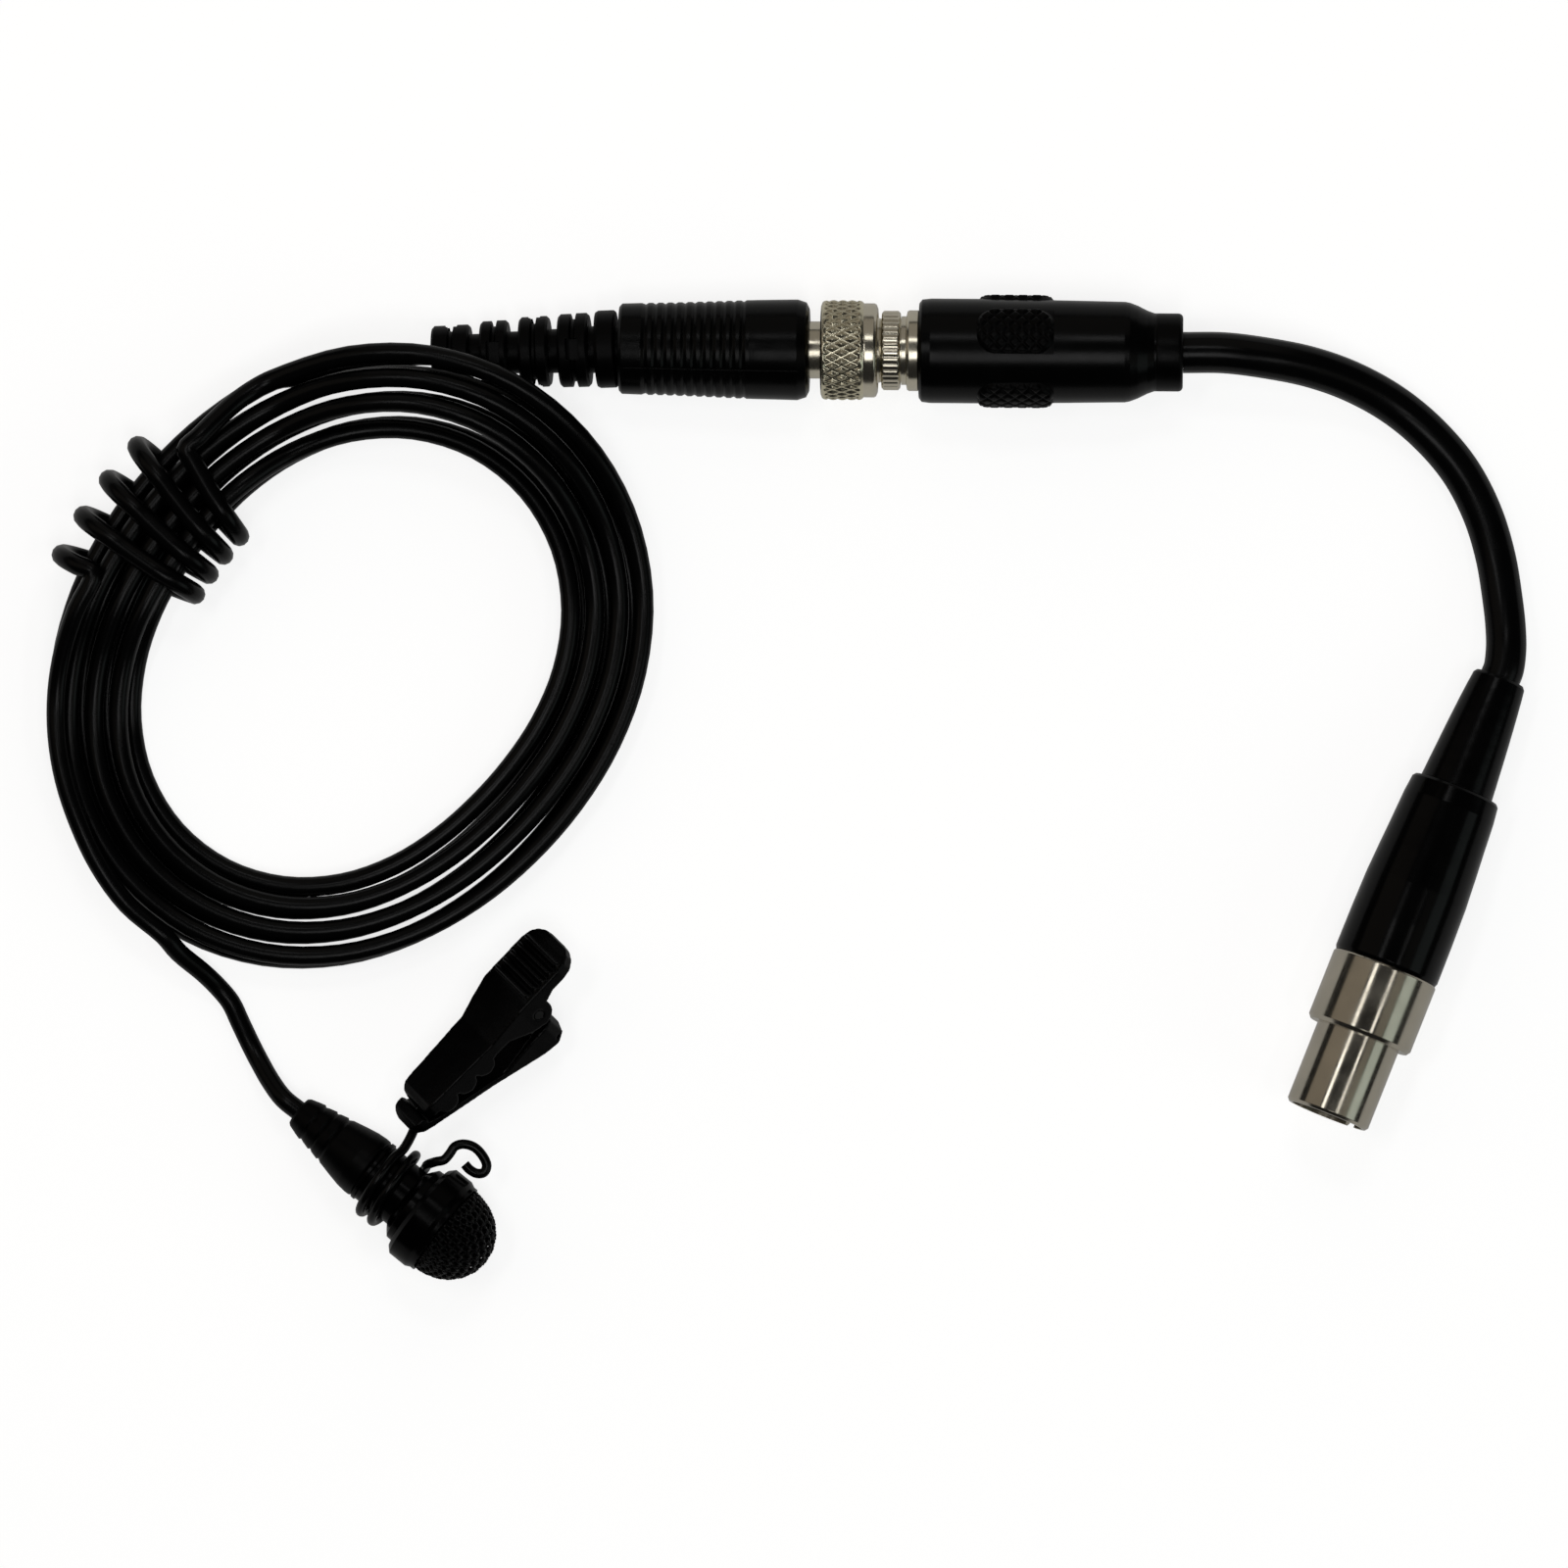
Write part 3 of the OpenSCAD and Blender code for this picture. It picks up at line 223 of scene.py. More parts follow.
    def _relief(
        self, tree: bpy.types.NodeTree, shader: bpy.types.ShaderNode, place: bpy.types.NodeSocket
    ) -> None:
        """Add the fine relief, over rounded edges where the piece has sharp ones."""
        along = {Grain.CLOUD: (1, 1, 1), Grain.TURNED: (1, 0.02, 0.02), Grain.DRAWN: (0.05, 1, 1)}[self.grain]
        bump = tree.nodes.new("ShaderNodeBump")
        bump.inputs["Distance"].default_value = self.relief_mm * MM
        bump.inputs["Strength"].default_value = 1.0
        tree.links.new(self._noise(tree, place, self.grain_mm, 5.0, along), bump.inputs["Height"])
        if self.edge_mm > 0:
            edge = tree.nodes.new("ShaderNodeBevel")
            edge.samples = 6
            edge.inputs["Radius"].default_value = self.edge_mm * MM
            tree.links.new(edge.outputs["Normal"], bump.inputs["Normal"])
        tree.links.new(bump.outputs["Normal"], shader.inputs["Normal"])


SHEATH = Finish("cable_sheath", (0.0024, 0.0025, 0.0027), 0.25, specular=0.18, grain_mm=0.25, relief_mm=0.004)
SOFT = Finish("soft_rubber", (0.0012, 0.0012, 0.0013), 0.34, specular=0.10, grain_mm=0.09, relief_mm=0.006,
              edge_mm=0.12)
BOOT = Finish("boot_vinyl", (0.0014, 0.0014, 0.0015), 0.22, specular=0.18, grain_mm=0.3, relief_mm=0.006,
              edge_mm=0.15)
CLIP_PLASTIC = Finish("clip_plastic", (0.0015, 0.0015, 0.0016), 0.26, specular=0.18, grain_mm=0.10,
                      relief_mm=0.005, edge_mm=0.08)
HOUSING = Finish("housing_black", (0.0009, 0.0009, 0.0010), 0.20, specular=0.08, grain=Grain.TURNED,
                 grain_mm=0.08, relief_mm=0.002, edge_mm=0.1, seat=HEAD)
LACQUER = Finish("wire_lacquer", (0.0015, 0.0015, 0.0016), 0.22, specular=0.18, grain_mm=0.2, relief_mm=0.005)
MESH = Finish("mesh_wire", (0.0015, 0.0015, 0.0016), 0.26, specular=0.18, grain_mm=0.1, relief_mm=0.004)
LINING = Finish("mesh_lining", (0.0012, 0.0012, 0.0012), 0.9, grain_mm=0.15, relief_mm=0.05, specular=0.1)
MOULDED = Finish("moulded_black", (0.0012, 0.0014, 0.0014), 0.24, specular=0.15, grain_mm=0.11,
                 relief_mm=0.005, edge_mm=0.15)
GLOSS = Finish("cover_gloss", (0.0016, 0.0016, 0.0016), 0.17, specular=0.16, grain_mm=0.9, relief_mm=0.004,
               edge_mm=0.1)
NICKEL = Finish("nickel_plug", (0.78, 0.725, 0.585), 0.20, metallic=1.0, grain=Grain.TURNED,
                grain_mm=0.07, relief_mm=0.0016, mottle=0.08, spread=0.25, edge_mm=0.08, seat=PLUG)
KNURL = Finish("nickel_knurl", (0.82, 0.76, 0.57), 0.25, metallic=1.0, grain_mm=0.07, relief_mm=0.002,
               mottle=0.1)
SHELL = Finish("nickel_shell", (0.58, 0.535, 0.44), 0.16, metallic=1.0, grain=Grain.TURNED, grain_mm=0.07,
               relief_mm=0.0014, mottle=0.08, spread=0.25, edge_mm=0.08, seat=CONNECTOR)
STEEL = Finish("pin_steel", (0.05, 0.05, 0.05), 0.34, metallic=1.0, grain_mm=0.08, relief_mm=0.003)
SPRING = Finish("spring_steel", (0.30, 0.295, 0.29), 0.28, metallic=1.0, grain_mm=0.05, relief_mm=0.002)
CAN = Finish("capsule_can", (0.6, 0.6, 0.6), 0.3, metallic=1.0, grain_mm=0.1, relief_mm=0.003)
BOARD = Finish("board_green", (0.01, 0.09, 0.03), 0.4, coat=0.4, grain_mm=0.2, relief_mm=0.004)
FOAM = Finish("foam_grey", (0.03, 0.03, 0.03), 0.95, grain_mm=0.12, relief_mm=0.08, specular=0.1)
INSULATOR = Finish("insulator_black", (0.008, 0.008, 0.008), 0.42, grain_mm=0.1, relief_mm=0.004)
GOLD = Finish("contact_gold", (0.78, 0.56, 0.24), 0.2, metallic=1.0, grain_mm=0.05, relief_mm=0.001,
              mottle=0.1)


# ------------------------------------------------------------------ shape helpers


def add_object(name: str, data: bpy.types.ID) -> bpy.types.Object:
    """Make an object of its data and put it in the scene."""
    made = bpy.data.objects.new(name, data)
    bpy.context.scene.collection.objects.link(made)
    return made


def new_mesh(
    name: str, points: np.ndarray, faces: Sequence[Sequence[int]], finish: Finish, body: str
) -> bpy.types.Object:
    """Make a smooth mesh piece, and set it on the body it rides on.

    Args:
        name: the piece's name.
        points: vertices in the row frame, in metres.
        faces: vertex indices of each face.
        finish: its finish.
        body: the CAD body it rides on, or nothing for a piece set on no body.

    Returns:
        The new object.
    """
    mesh = bpy.data.meshes.new(name)
    mesh.from_pydata([tuple(p) for p in points], [], [tuple(f) for f in faces])
    mesh.validate()
    mesh.shade_smooth()
    piece = add_object(name, mesh)
    mesh.materials.append(finish.material())
    if body:
        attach(piece, body)
    LOG.info("%s: %d faces, on %s", name, len(faces), body or "two bodies")
    return piece


def grid_faces(rows: int, columns: int, closed: bool, first: int = 0) -> list[tuple[int, int, int, int]]:
    """Return the quads of a grid of points stored row by row.

    Args:
        rows: number of rows.
        columns: points in a row.
        closed: whether each row's end meets its start.
        first: index of the grid's first point.

    Returns:
        The faces.
    """
    spans = columns if closed else columns - 1
    return [
        (first + i * columns + k, first + i * columns + (k + 1) % columns,
         first + (i + 1) * columns + (k + 1) % columns, first + (i + 1) * columns + k)
        for i in range(rows - 1)
        for k in range(spans)
    ]


def smooth_line(points: Sequence[Vector], parts: int) -> list[Vector]:
    """Return the points with a centripetal spline between them.

    Args:
        points: the points that the line passes through.
        parts: steps from each point to the next.

    Returns:
        The finer line.
    """
    p = [Vector(q) for q in points]
    p = [2 * p[0] - p[1]] + p + [2 * p[-1] - p[-2]]
    out: list[Vector] = []
    for a, b, c, d in zip(p, p[1:], p[2:], p[3:]):
        t1 = max((b - a).length ** 0.5, 1e-6)
        t2 = t1 + max((c - b).length ** 0.5, 1e-6)
        t3 = t2 + max((d - c).length ** 0.5, 1e-6)
        for i in range(parts):
            t = t1 + (t2 - t1) * i / parts
            ab = a.lerp(b, t / t1)
            bc = b.lerp(c, (t - t1) / (t2 - t1))
            cd = c.lerp(d, (t - t2) / (t3 - t2))
            abc = ab.lerp(bc, t / t2)
            bcd = bc.lerp(cd, (t - t1) / (t3 - t1))
            out.append(abc.lerp(bcd, (t - t1) / (t2 - t1)))
    return out + [p[-2]]


def tube_points(line: Sequence[Vector], radius: float, sides: int) -> np.ndarray:
    """Return rings of points round a line, with no twist.

    Args:
        line: the centreline.
        radius: in the line's unit.
        sides: points in a ring.

    Returns:
        Points ring by ring, and then the line's two ends.
    """
    line = [Vector(p) for p in line]
    count = len(line)
    tangents = [(line[min(i + 1, count - 1)] - line[max(i - 1, 0)]).normalized() for i in range(count)]
    side = tangents[0].orthogonal().normalized()
    rings = []
    for p, t in zip(line, tangents):
        side = (side - t * side.dot(t)).normalized()
        other = t.cross(side)
        for k in range(sides):
            a = math.tau * k / sides
            rings.append(p + radius * (math.cos(a) * side + math.sin(a) * other))
    return np.array([*rings, line[0], line[-1]], float)


def tube_faces(rings: int, sides: int, first: int = 0) -> list[tuple[int, ...]]:
    """Return the faces of a closed tube made by tube_points."""
    faces: list[tuple[int, ...]] = list(grid_faces(rings, sides, True, first))
    start, end, last = first + rings * sides, first + rings * sides + 1, first + (rings - 1) * sides
    faces += [(start, first + (k + 1) % sides, first + k) for k in range(sides)]
    faces += [(end, last + k, last + (k + 1) % sides) for k in range(sides)]
    return faces


def revolve(
    seat: Seat,
    outline: Sequence[tuple[float, float]],
    sides: int = 128,
    cut: Callable[[float, float, float], float] = lambda r, x, a: 0.0,
) -> tuple[np.ndarray, list]:
    """Turn an outline about a seat's X axis.

    Args:
        seat: the frame.
        outline: (radius, place along X) in millimetres.
        sides: points in a ring.
        cut: how deep the surface is cut at a radius, a place along X and an angle.

    Returns:
        The points in metres and the faces.
    """
    turn, rows = seat.matrix(), []
    for r, x in outline:
        for k in range(sides):
            a = math.tau * k / sides
            deep = r - cut(r, x, a)
            rows.append(turn @ (Vector((x, deep * math.cos(a), deep * math.sin(a))) * MM))
    return np.array(rows, float), grid_faces(len(outline), sides, True)


def rounded_copy(
    node: str, name: str, finish: Finish, body: str, voxel_mm: float = 0.1, passes: int = 6
) -> bpy.types.Object:
    """Copy a CAD node as a piece whose edges are softened as a moulding's are, and hide the node.

    Args:
        node: the CAD node.
        name: the new piece's name.
        finish: its finish.
        body: the body it rides on.
        voxel_mm: cell of the remesh.
        passes: how often its points are smoothed.

    Returns:
        The new piece.
    """
    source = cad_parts[node]
    piece = add_object(name, source.data.copy())
    remesh = piece.modifiers.new("remesh", "REMESH")
    remesh.mode = "VOXEL"
    remesh.voxel_size = voxel_mm * MM
    smooth = piece.modifiers.new("smooth", "SMOOTH")
    smooth.factor = 0.5
    smooth.iterations = passes
    graph = bpy.context.evaluated_depsgraph_get()
    mesh = bpy.data.meshes.new_from_object(piece.evaluated_get(graph))
    piece.modifiers.clear()
    piece.data = mesh
    mesh.shade_smooth()
    mesh.materials.clear()
    mesh.materials.append(finish.material())
    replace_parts(piece, node)
    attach(piece, body)
    LOG.info("%s: %d faces, for %s", name, len(mesh.polygons), node)
    return piece


def dress(finish: Finish, *nodes: str) -> None:
    """Give CAD nodes a finish."""
    for node in nodes:
        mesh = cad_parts[node].data
        for k in range(max(1, len(mesh.materials))):
            if k < len(mesh.materials):
                mesh.materials[k] = finish.material()
            else:
                mesh.materials.append(finish.material())


def ease(x: float) -> float:
    """Smooth step from 0 to 1."""
    x = min(max(x, 0.0), 1.0)
    return x * x * (3 - 2 * x)


# ------------------------------------------------------------------ leads


@dataclass
class ThinLead:
    """The thin lead from the head to the plug, with the coil and the wrap that ties it.

    It repeats part.scad's route. Millimetres and degrees.
    """

    diameter: float = 2.05
    turns: int = 7
    pitch: float = 2.55
    layer: float = 2.75
    mean_r: float = 26.5
    lean: float = 0.64
    lean_at: float = 46.0
    oval: float = 2.7
    oval_at: float = 50.0
    centre: tuple[float, float] = (-8.85, 44.55)
    start: float = 104.0
    hump: float = 6.4
    hump_at: float = 68.0
    wrap_turns: int = 4
    wrap_at: float = 126.0
    wrap_step: float = 8.4
    wrap_r: float = 4.0
    wrap_inset: float = 1.16
    wrap_gap: float = 0.03
    lead_out: float = 236.0
    steps: int = 24
    half: float = field(init=False)
    flat: float = field(init=False)
    middle: float = field(init=False)
    inward: float = field(init=False)

    def __post_init__(self) -> None:
        """Derive the sizes that follow from the others."""
        self.inward = (self.turns - 0.5) / 2
        self.half = self.inward / 2 * self.pitch
        self.flat = self.half - self.wrap_inset
        self.middle = self.diameter / 2 + self.layer / 2

    @staticmethod
    def _hump(a: float, middle: float, flat: float, fall: float) -> float:
        """Return 1 within `flat` degrees of an angle, and 0 beyond `flat + fall`."""
        d = abs(((a - middle + 540) % 360) - 180)
        if d <= flat:
            return 1.0
        return 0.0 if d >= flat + fall else (1 + math.cos(math.pi * (d - flat) / fall)) / 2

    def bundle(self, a: float, off: float, z: float) -> Vector:
        """Return a point of the coil's bundle.

        Args:
            a: angle round the coil, in degrees.
            off: offset outwards from the bundle's middle.
            z: height before the bundle's rises.

        Returns:
            The point, in millimetres.
        """
        r = math.radians
        radius = off + self.mean_r + self.lean * math.cos(r(a - self.lean_at))
        radius += self.oval * math.cos(r(2 * (a - self.oval_at)))
        wrap_mid = self.wrap_at + self.wrap_step * self.wrap_turns / 2
        layer = ease((z - self.diameter / 2) / self.layer)
        rise = self.hump * self._hump(a, self.hump_at, 8, 45) * ease((off + 1.9 + 1.7 * layer) / 2.6)
        rise += (self.wrap_r - self.layer / 2 + self.wrap_gap) * self._hump(a, wrap_mid, 18, 30)
        x, y = self.centre[0] + radius * math.cos(r(a)), self.centre[1] + radius * math.sin(r(a))
        return Vector((x, y, z + rise))

    def coil(self) -> list[Vector]:
        """Return the coil's points, from the plug's side to the wrap's."""
        out = []
        for i in range(self.turns * self.steps + 1):
            t = i / self.steps
            if t < self.inward:
                off, level = self.half - self.pitch * t, 0.0
            elif t < self.inward + 0.5:
                u = t - self.inward
                off, level = -self.half - self.pitch * u + 2 * self.pitch * u * u, 2 * u
            else:
                off, level = -self.half + self.pitch * (t - self.inward - 0.5), 1.0
            out.append(self.bundle(self.start + 360 * t, off, self.diameter / 2 + self.layer * level))
        return out

    def _section(self, w: float) -> tuple[float, float]:
        """Return a point of the wrap's section at w turns."""
        f, run, side = w - math.floor(w), 0.22, 0.28
        if f < run:
            return self.flat - 2 * self.flat * f / run, self.wrap_r
        if f < run + side:
            b = math.radians(90 + 180 * (f - run) / side)
            return -self.flat + self.wrap_r * math.cos(b), self.wrap_r * math.sin(b)
        if f < 2 * run + side:
            return -self.flat + 2 * self.flat * (f - run - side) / run, -self.wrap_r
        b = math.radians(-90 + 180 * (f - 2 * run - side) / side)
        return self.flat + self.wrap_r * math.cos(b), self.wrap_r * math.sin(b)

    def wrap(self) -> list[Vector]:
        """Return the wrap's points, from the coil's end to where the lead leaves for the head."""
        top, lift = self.diameter / 2 + self.layer, self.middle + self.wrap_r
        out = []
        for i in range(1, 6):
            s = i / 6
            a = self.start + (self.wrap_at - self.start) * s
            off = self.half + (self.flat - self.half) * ease(s * 1.1 - 0.1)
            out.append(self.bundle(a, off, top + (lift - top) * ease(s * 1.1)))
        for i in range(self.wrap_turns * self.steps + 1):
            w = i / self.steps
            x, y = self._section(w)
            out.append(self.bundle(self.wrap_at + self.wrap_step * w, x, self.middle + y))
        end = self.wrap_at + self.wrap_step * self.wrap_turns
        for i in range(1, 10):
            s = i / 9
            a = end + (self.lead_out - end) * s
            leave = ease((a - 205) / (self.lead_out - 205))
            off = self.flat + (3.4 + 1.2 * leave - self.flat) * ease(s * 3)
            out.append(self.bundle(a, off, lift + (top + 2.1 - 1.25 * leave - lift) * ease(s * 3)))
        return out

    def head_side(self) -> list[Vector]:
        """Return the stretch from the wrap to the head's boot."""
        laid = [(-25.85, 15.3, 3.6), (-23.5, 13.3, 2.3), (-22.0, 11.8, 1.4), (-20.7, 10.2, 1.08),
                (-19.7, 8.1, 1.06), (-18.7, 6.0, 1.15), (-17.7, 4.1, 1.6), (-16.5, 2.1, 2.6)]
        ends = [HEAD.point(-self.diameter, 0, 0) / MM, HEAD.point(0, 0, 0) / MM]
        return [Vector(p) for p in laid] + ends

    def plug_side(self) -> list[Vector]:
        """Return the stretch from the plug's relief to the coil."""
        tip = PLUG.point(-19.1, -0.8, -0.9) / MM
        laid = [(-5.0, 75.55, 2.75), (-9.6, 75.1, 2.8), (-13.2, 74.2, 2.95)]
        return [tip, tip + Vector((-self.diameter, -0.04, -0.1))] + [Vector(p) for p in laid]

    def build(self) -> bpy.types.Object:
        """Make the lead as one cord from the head's boot to the plug's relief."""
        route = self.plug_side() + self.coil() + self.wrap() + self.head_side()
        route.reverse()
        line = smooth_line([p * MM for p in route], 4)
        nodes = ["head_lead", "cable_coil", "cable_wrap", "plug_lead"]
        piece = cord_curve("thin_lead", line, self.diameter, SHEATH, "lead")
        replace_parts(piece, *nodes)
        return piece


def route_length(line: Sequence[Vector]) -> float:
    """Return a line's length."""
    return sum((b - a).length for a, b in zip(line, line[1:]))


def cord_curve(
    name: str, line: Sequence[Vector], diameter: float, finish: Finish, body: str
) -> bpy.types.Object:
    """Make a round cord as a curve of one open spline.

    Args:
        name: the piece's name.
        line: centreline, in metres.
        diameter: in millimetres.
        finish: its finish.
        body: the body it rides on.

    Returns:
        The curve object.
    """
    curve = bpy.data.curves.new(name, "CURVE")
    curve.dimensions = "3D"
    curve.bevel_depth = diameter / 2 * MM
    curve.bevel_resolution = 4
    curve.use_fill_caps = True
    spline = curve.splines.new("POLY")
    spline.points.add(len(line) - 1)
    for point, p in zip(spline.points, line):
        point.co = (*p, 1.0)
    spline.use_smooth = True
    curve.materials.append(finish.material())
    piece = add_object(name, curve)
    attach(piece, body)
    LOG.info("%s: %.0f mm long", name, route_length(line) / MM)
    return piece


@dataclass
class ThickLead:
    """The thick lead from the adapter to the round connector. Millimetres."""

    diameter: float = 4.2
    gland_end: float = 57.5
    boot_end: float = -0.85

    def build(self) -> bpy.types.Object:
        """Make the lead as one cord."""
        laid = [(85.2, 75.95, 6.3), (89.6, 75.1, 5.4), (93.9, 73.65, 4.1), (98.2, 71.35, 2.9),
                (101.9, 68.35, 2.3), (105.1, 64.6, 2.1), (107.35, 60.3, 2.1), (108.7, 55.9, 2.2),
                (109.4, 51.6, 2.6), (109.7, 48.6, 3.1), (109.72, 46.3, 3.6)]
        start = [PLUG.point(self.gland_end, 0, 0), PLUG.point(self.gland_end + self.diameter, 0, 0)]
        end = [CONNECTOR.point(self.boot_end - 1.05, 0, 0), CONNECTOR.point(self.boot_end, 0, 0)]
        line = smooth_line(start + [Vector(p) * MM for p in laid] + end, 8)
        piece = cord_curve("thick_lead", line, self.diameter, SHEATH, "adapter")
        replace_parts(piece, "adapter_cable")
        return piece


# ------------------------------------------------------------------ microphone head


@dataclass
class Head:
    """The microphone's head. Millimetres along its own axis, from the boot's tip."""

    length: float = 24.6
    mesh_pitch: float = 0.74
    mesh_wire: float = 0.34
    weave: float = 0.15
    proud: float = 0.1
    lining_in: float = 0.62
    reach: float = 7.9
    outline: tuple[tuple[float, float], ...] = (
        (0.0, 0.0), (0.9, 0.08), (1.8, 0.35), (2.7, 0.85), (3.4, 1.45), (3.95, 2.1), (4.35, 2.8), (4.62, 3.5),
        (4.82, 4.3), (4.95, 5.2), (4.95, 6.2))

    def _profile(self) -> Callable[[float], tuple[float, float, float, float]]:
        """Return a function from arc length to (radius, depth, outward along X, outward along the radius)."""
        line = smooth_line([Vector((r, d, 0)) for r, d in self.outline], 8)
        arc = np.concatenate([[0], np.cumsum([(b - a).length for a, b in zip(line, line[1:])])])
        radii, depths = np.array([p.x for p in line]), np.array([p.y for p in line])

        def at(s: float) -> tuple[float, float, float, float]:
            """Look up one arc length."""
            step = 0.15
            places = (s, s + step, max(s - step, 0))
            (r, d), (r2, d2), (r1, d1) = [
                (float(np.interp(q, arc, radii)), float(np.interp(q, arc, depths))) for q in places]
            size = math.hypot(r2 - r1, d2 - d1) or 1.0
            return r, d, (r2 - r1) / size, (d2 - d1) / size

        return at

    def mesh(self) -> bpy.types.Object:
        """Weave the grille's wires over the dome."""
        at = self._profile()
        inset = self.mesh_wire / 2 + self.weave - self.proud
        count = int(self.reach / self.mesh_pitch)
        sides = 6
        points: list[np.ndarray] = []
        faces: list[tuple[int, ...]] = []
        first = 0
        for across in (False, True):
            for k in range(-count, count + 1):
                u = (k + 0.5) * self.mesh_pitch
                if abs(u) >= self.reach:
                    continue
                half = math.sqrt(self.reach ** 2 - u * u)
                steps = max(4, int(half / (self.mesh_pitch / 4)))
                line = []
                for i in range(-steps, steps + 1):
                    v = half * i / steps
                    s, a = math.hypot(u, v), math.atan2(u, v) if across else math.atan2(v, u)
                    r, d, nx, nr = at(s)
                    wave = math.cos(math.pi * (v / self.mesh_pitch + k)) * (-1 if across else 1)
                    lift = self.weave * wave - inset
                    r, x = r + lift * nr, self.length - d + lift * nx
                    line.append(HEAD.point(x, r * math.cos(a), r * math.sin(a)))
                points.append(tube_points(line, self.mesh_wire / 2 * MM, sides))
                faces += tube_faces(len(line), sides, first)
                first += len(points[-1])
        piece = new_mesh("woven_grille", np.concatenate(points), faces, MESH, "lead")
        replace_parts(piece, "grille")
        return piece

    def lining(self) -> bpy.types.Object:
        """Make the dark cloth behind the wires."""
        at = self._profile()
        outline = []
        for i in range(25):
            r, d, nx, nr = at(self.reach * i / 24)
            outline.append((max(r - self.lining_in * nr, 0.001), self.length - d - self.lining_in * nx))
        points, faces = revolve(HEAD, outline, 64)
        return new_mesh("grille_lining", points, faces, LINING, "lead")

    def build(self) -> None:
        """Make and dress the head."""
        self.mesh()
        self.lining()
        dress(HOUSING, "grille_collar", "capsule_housing")
        dress(SOFT, "head_boot")
        dress(CAN, "electret_capsule")
        dress(BOARD, "capsule_board")
        dress(FOAM, "foam_disc")


# ------------------------------------------------------------------ clip


@dataclass
class Clip:
    """The clip and the holder wire. Millimetres and degrees."""

    wire: float = 1.0
    turn_r: float = 4.0
    pitch: float = 1.5
    first: float = 10.9
    join: float = 50.0
    step: int = 15
    steps: int = 44
    spring_wire: float = 0.3
    spring_r: float = 0.97
    spring_pitch: float = 0.78
    leg: float = -1.2
    hinge: tuple[float, float] = (16.4, -1.3)
    ribs: tuple[float, float, int] = (17.0, 21.3, 5)
    rib_half: float = 3.55
    rib_swell: float = 0.13

    def holder_line(self) -> list[Vector]:
        """Return the holder wire's centreline, in metres."""
        stem = [(-1.75, -2.45, 5.75), (-2.25, -3.7, 6.3), (-2.95, -4.8, 7.15)]
        hook = [(0.45, -5.95, 6.4), (1.3, -5.75, 6.6), (1.9, -5.1, 6.6), (2.4, -4.4, 6.6),
                (3.25, -4.15, 6.5), (4.35, -4.45, 6.4), (5.2, -5.3, 6.3), (5.65, -6.35, 6.2),
                (5.35, -7.05, 6.15), (4.65, -7.15, 6.1), (3.9, -6.75, 6.1), (3.4, -6.2, 6.1)]
        line = [CLIP.point(1.0, 0, -2.0), CLIP.point(-0.3, -0.1, -2.1)] + [Vector(p) * MM for p in stem]
        for i in range(self.steps + 1):
            a = math.radians(self.join + self.step * i)
            x = self.first + self.pitch * self.step * i / 360
            line.append(HEAD.point(x, self.turn_r * math.cos(a), self.turn_r * math.sin(a)))
        return smooth_line(line + [Vector(p) * MM for p in hook], 4)

    def holder(self) -> bpy.types.Object:
        """Make the holder's smooth wire."""
        line = self.holder_line()
        sides = 14
        points = tube_points(line, self.wire / 2 * MM, sides)
        faces = tube_faces(len(line), sides)
        piece = new_mesh("holder_wire_smooth", points, faces, LACQUER, "clip_base")
        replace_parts(piece, "holder_wire")
        return piece

    def spring(self) -> bpy.types.Object:
        """Make the torsion spring of round wire, set on no body. On the real clip its leg bends between the
        jaws when the clip opens.
        """
        x, z = self.hinge
        line = [CLIP.point(20.2, self.leg, 0.0), CLIP.point(18.4, self.leg, -0.04)]
        for i in range(28):
            a = math.radians(90 - 45 * i)
            y = self.spring_pitch * i / 8 + self.leg
            line.append(CLIP.point(x + self.spring_r * math.cos(a), y, z + self.spring_r * math.sin(a)))
        line += [CLIP.point(x - 0.15, 1.35, -3.5), CLIP.point(x - 0.3, 1.35, -4.8)]
        fine = smooth_line(line, 4)
        points = tube_points(fine, self.spring_wire / 2 * MM, 8)
        piece = new_mesh("clip_spring_wire", points, tube_faces(len(fine), 8), SPRING, "")
        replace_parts(piece, "clip_spring")
        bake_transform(piece)
        return piece

    def deepen_ribs(self, piece: bpy.types.Object) -> None:
        """Swell the thumb ribs and hollow the skin between them.

        Args:
            piece: the upper jaw's rounded copy.
        """
        frame_in = CLIP.matrix().inverted()
        up = (CLIP.matrix().to_3x3() @ Vector((0, 0, 1))).normalized()
        first, last, count = self.ribs
        pitch = (last - first) / (count - 1)
        for vertex in piece.data.vertices:
            at = frame_in @ vertex.co / MM
            if at.z < 0.8:
                continue
            fade = ease((at.x - first + pitch * 0.8) / 0.6) * ease((last + pitch * 0.6 - at.x) / 0.6)
            fade *= ease((self.rib_half - abs(at.y)) / 0.5)
            wave = math.cos(math.tau * (at.x - first) / pitch)
            vertex.co += up * (self.rib_swell * fade * wave) * MM

    def build(self) -> None:
        """Make and dress the clip."""
        self.holder()
        self.spring()
        upper = rounded_copy("clip_upper_jaw", "upper_jaw_moulded", CLIP_PLASTIC, "clip_lever")
        self.deepen_ribs(upper)
        rounded_copy("clip_lower_jaw", "lower_jaw_moulded", CLIP_PLASTIC, "clip_base")
        dress(STEEL, "clip_hinge_pin")


# ------------------------------------------------------------------ plug and adapter


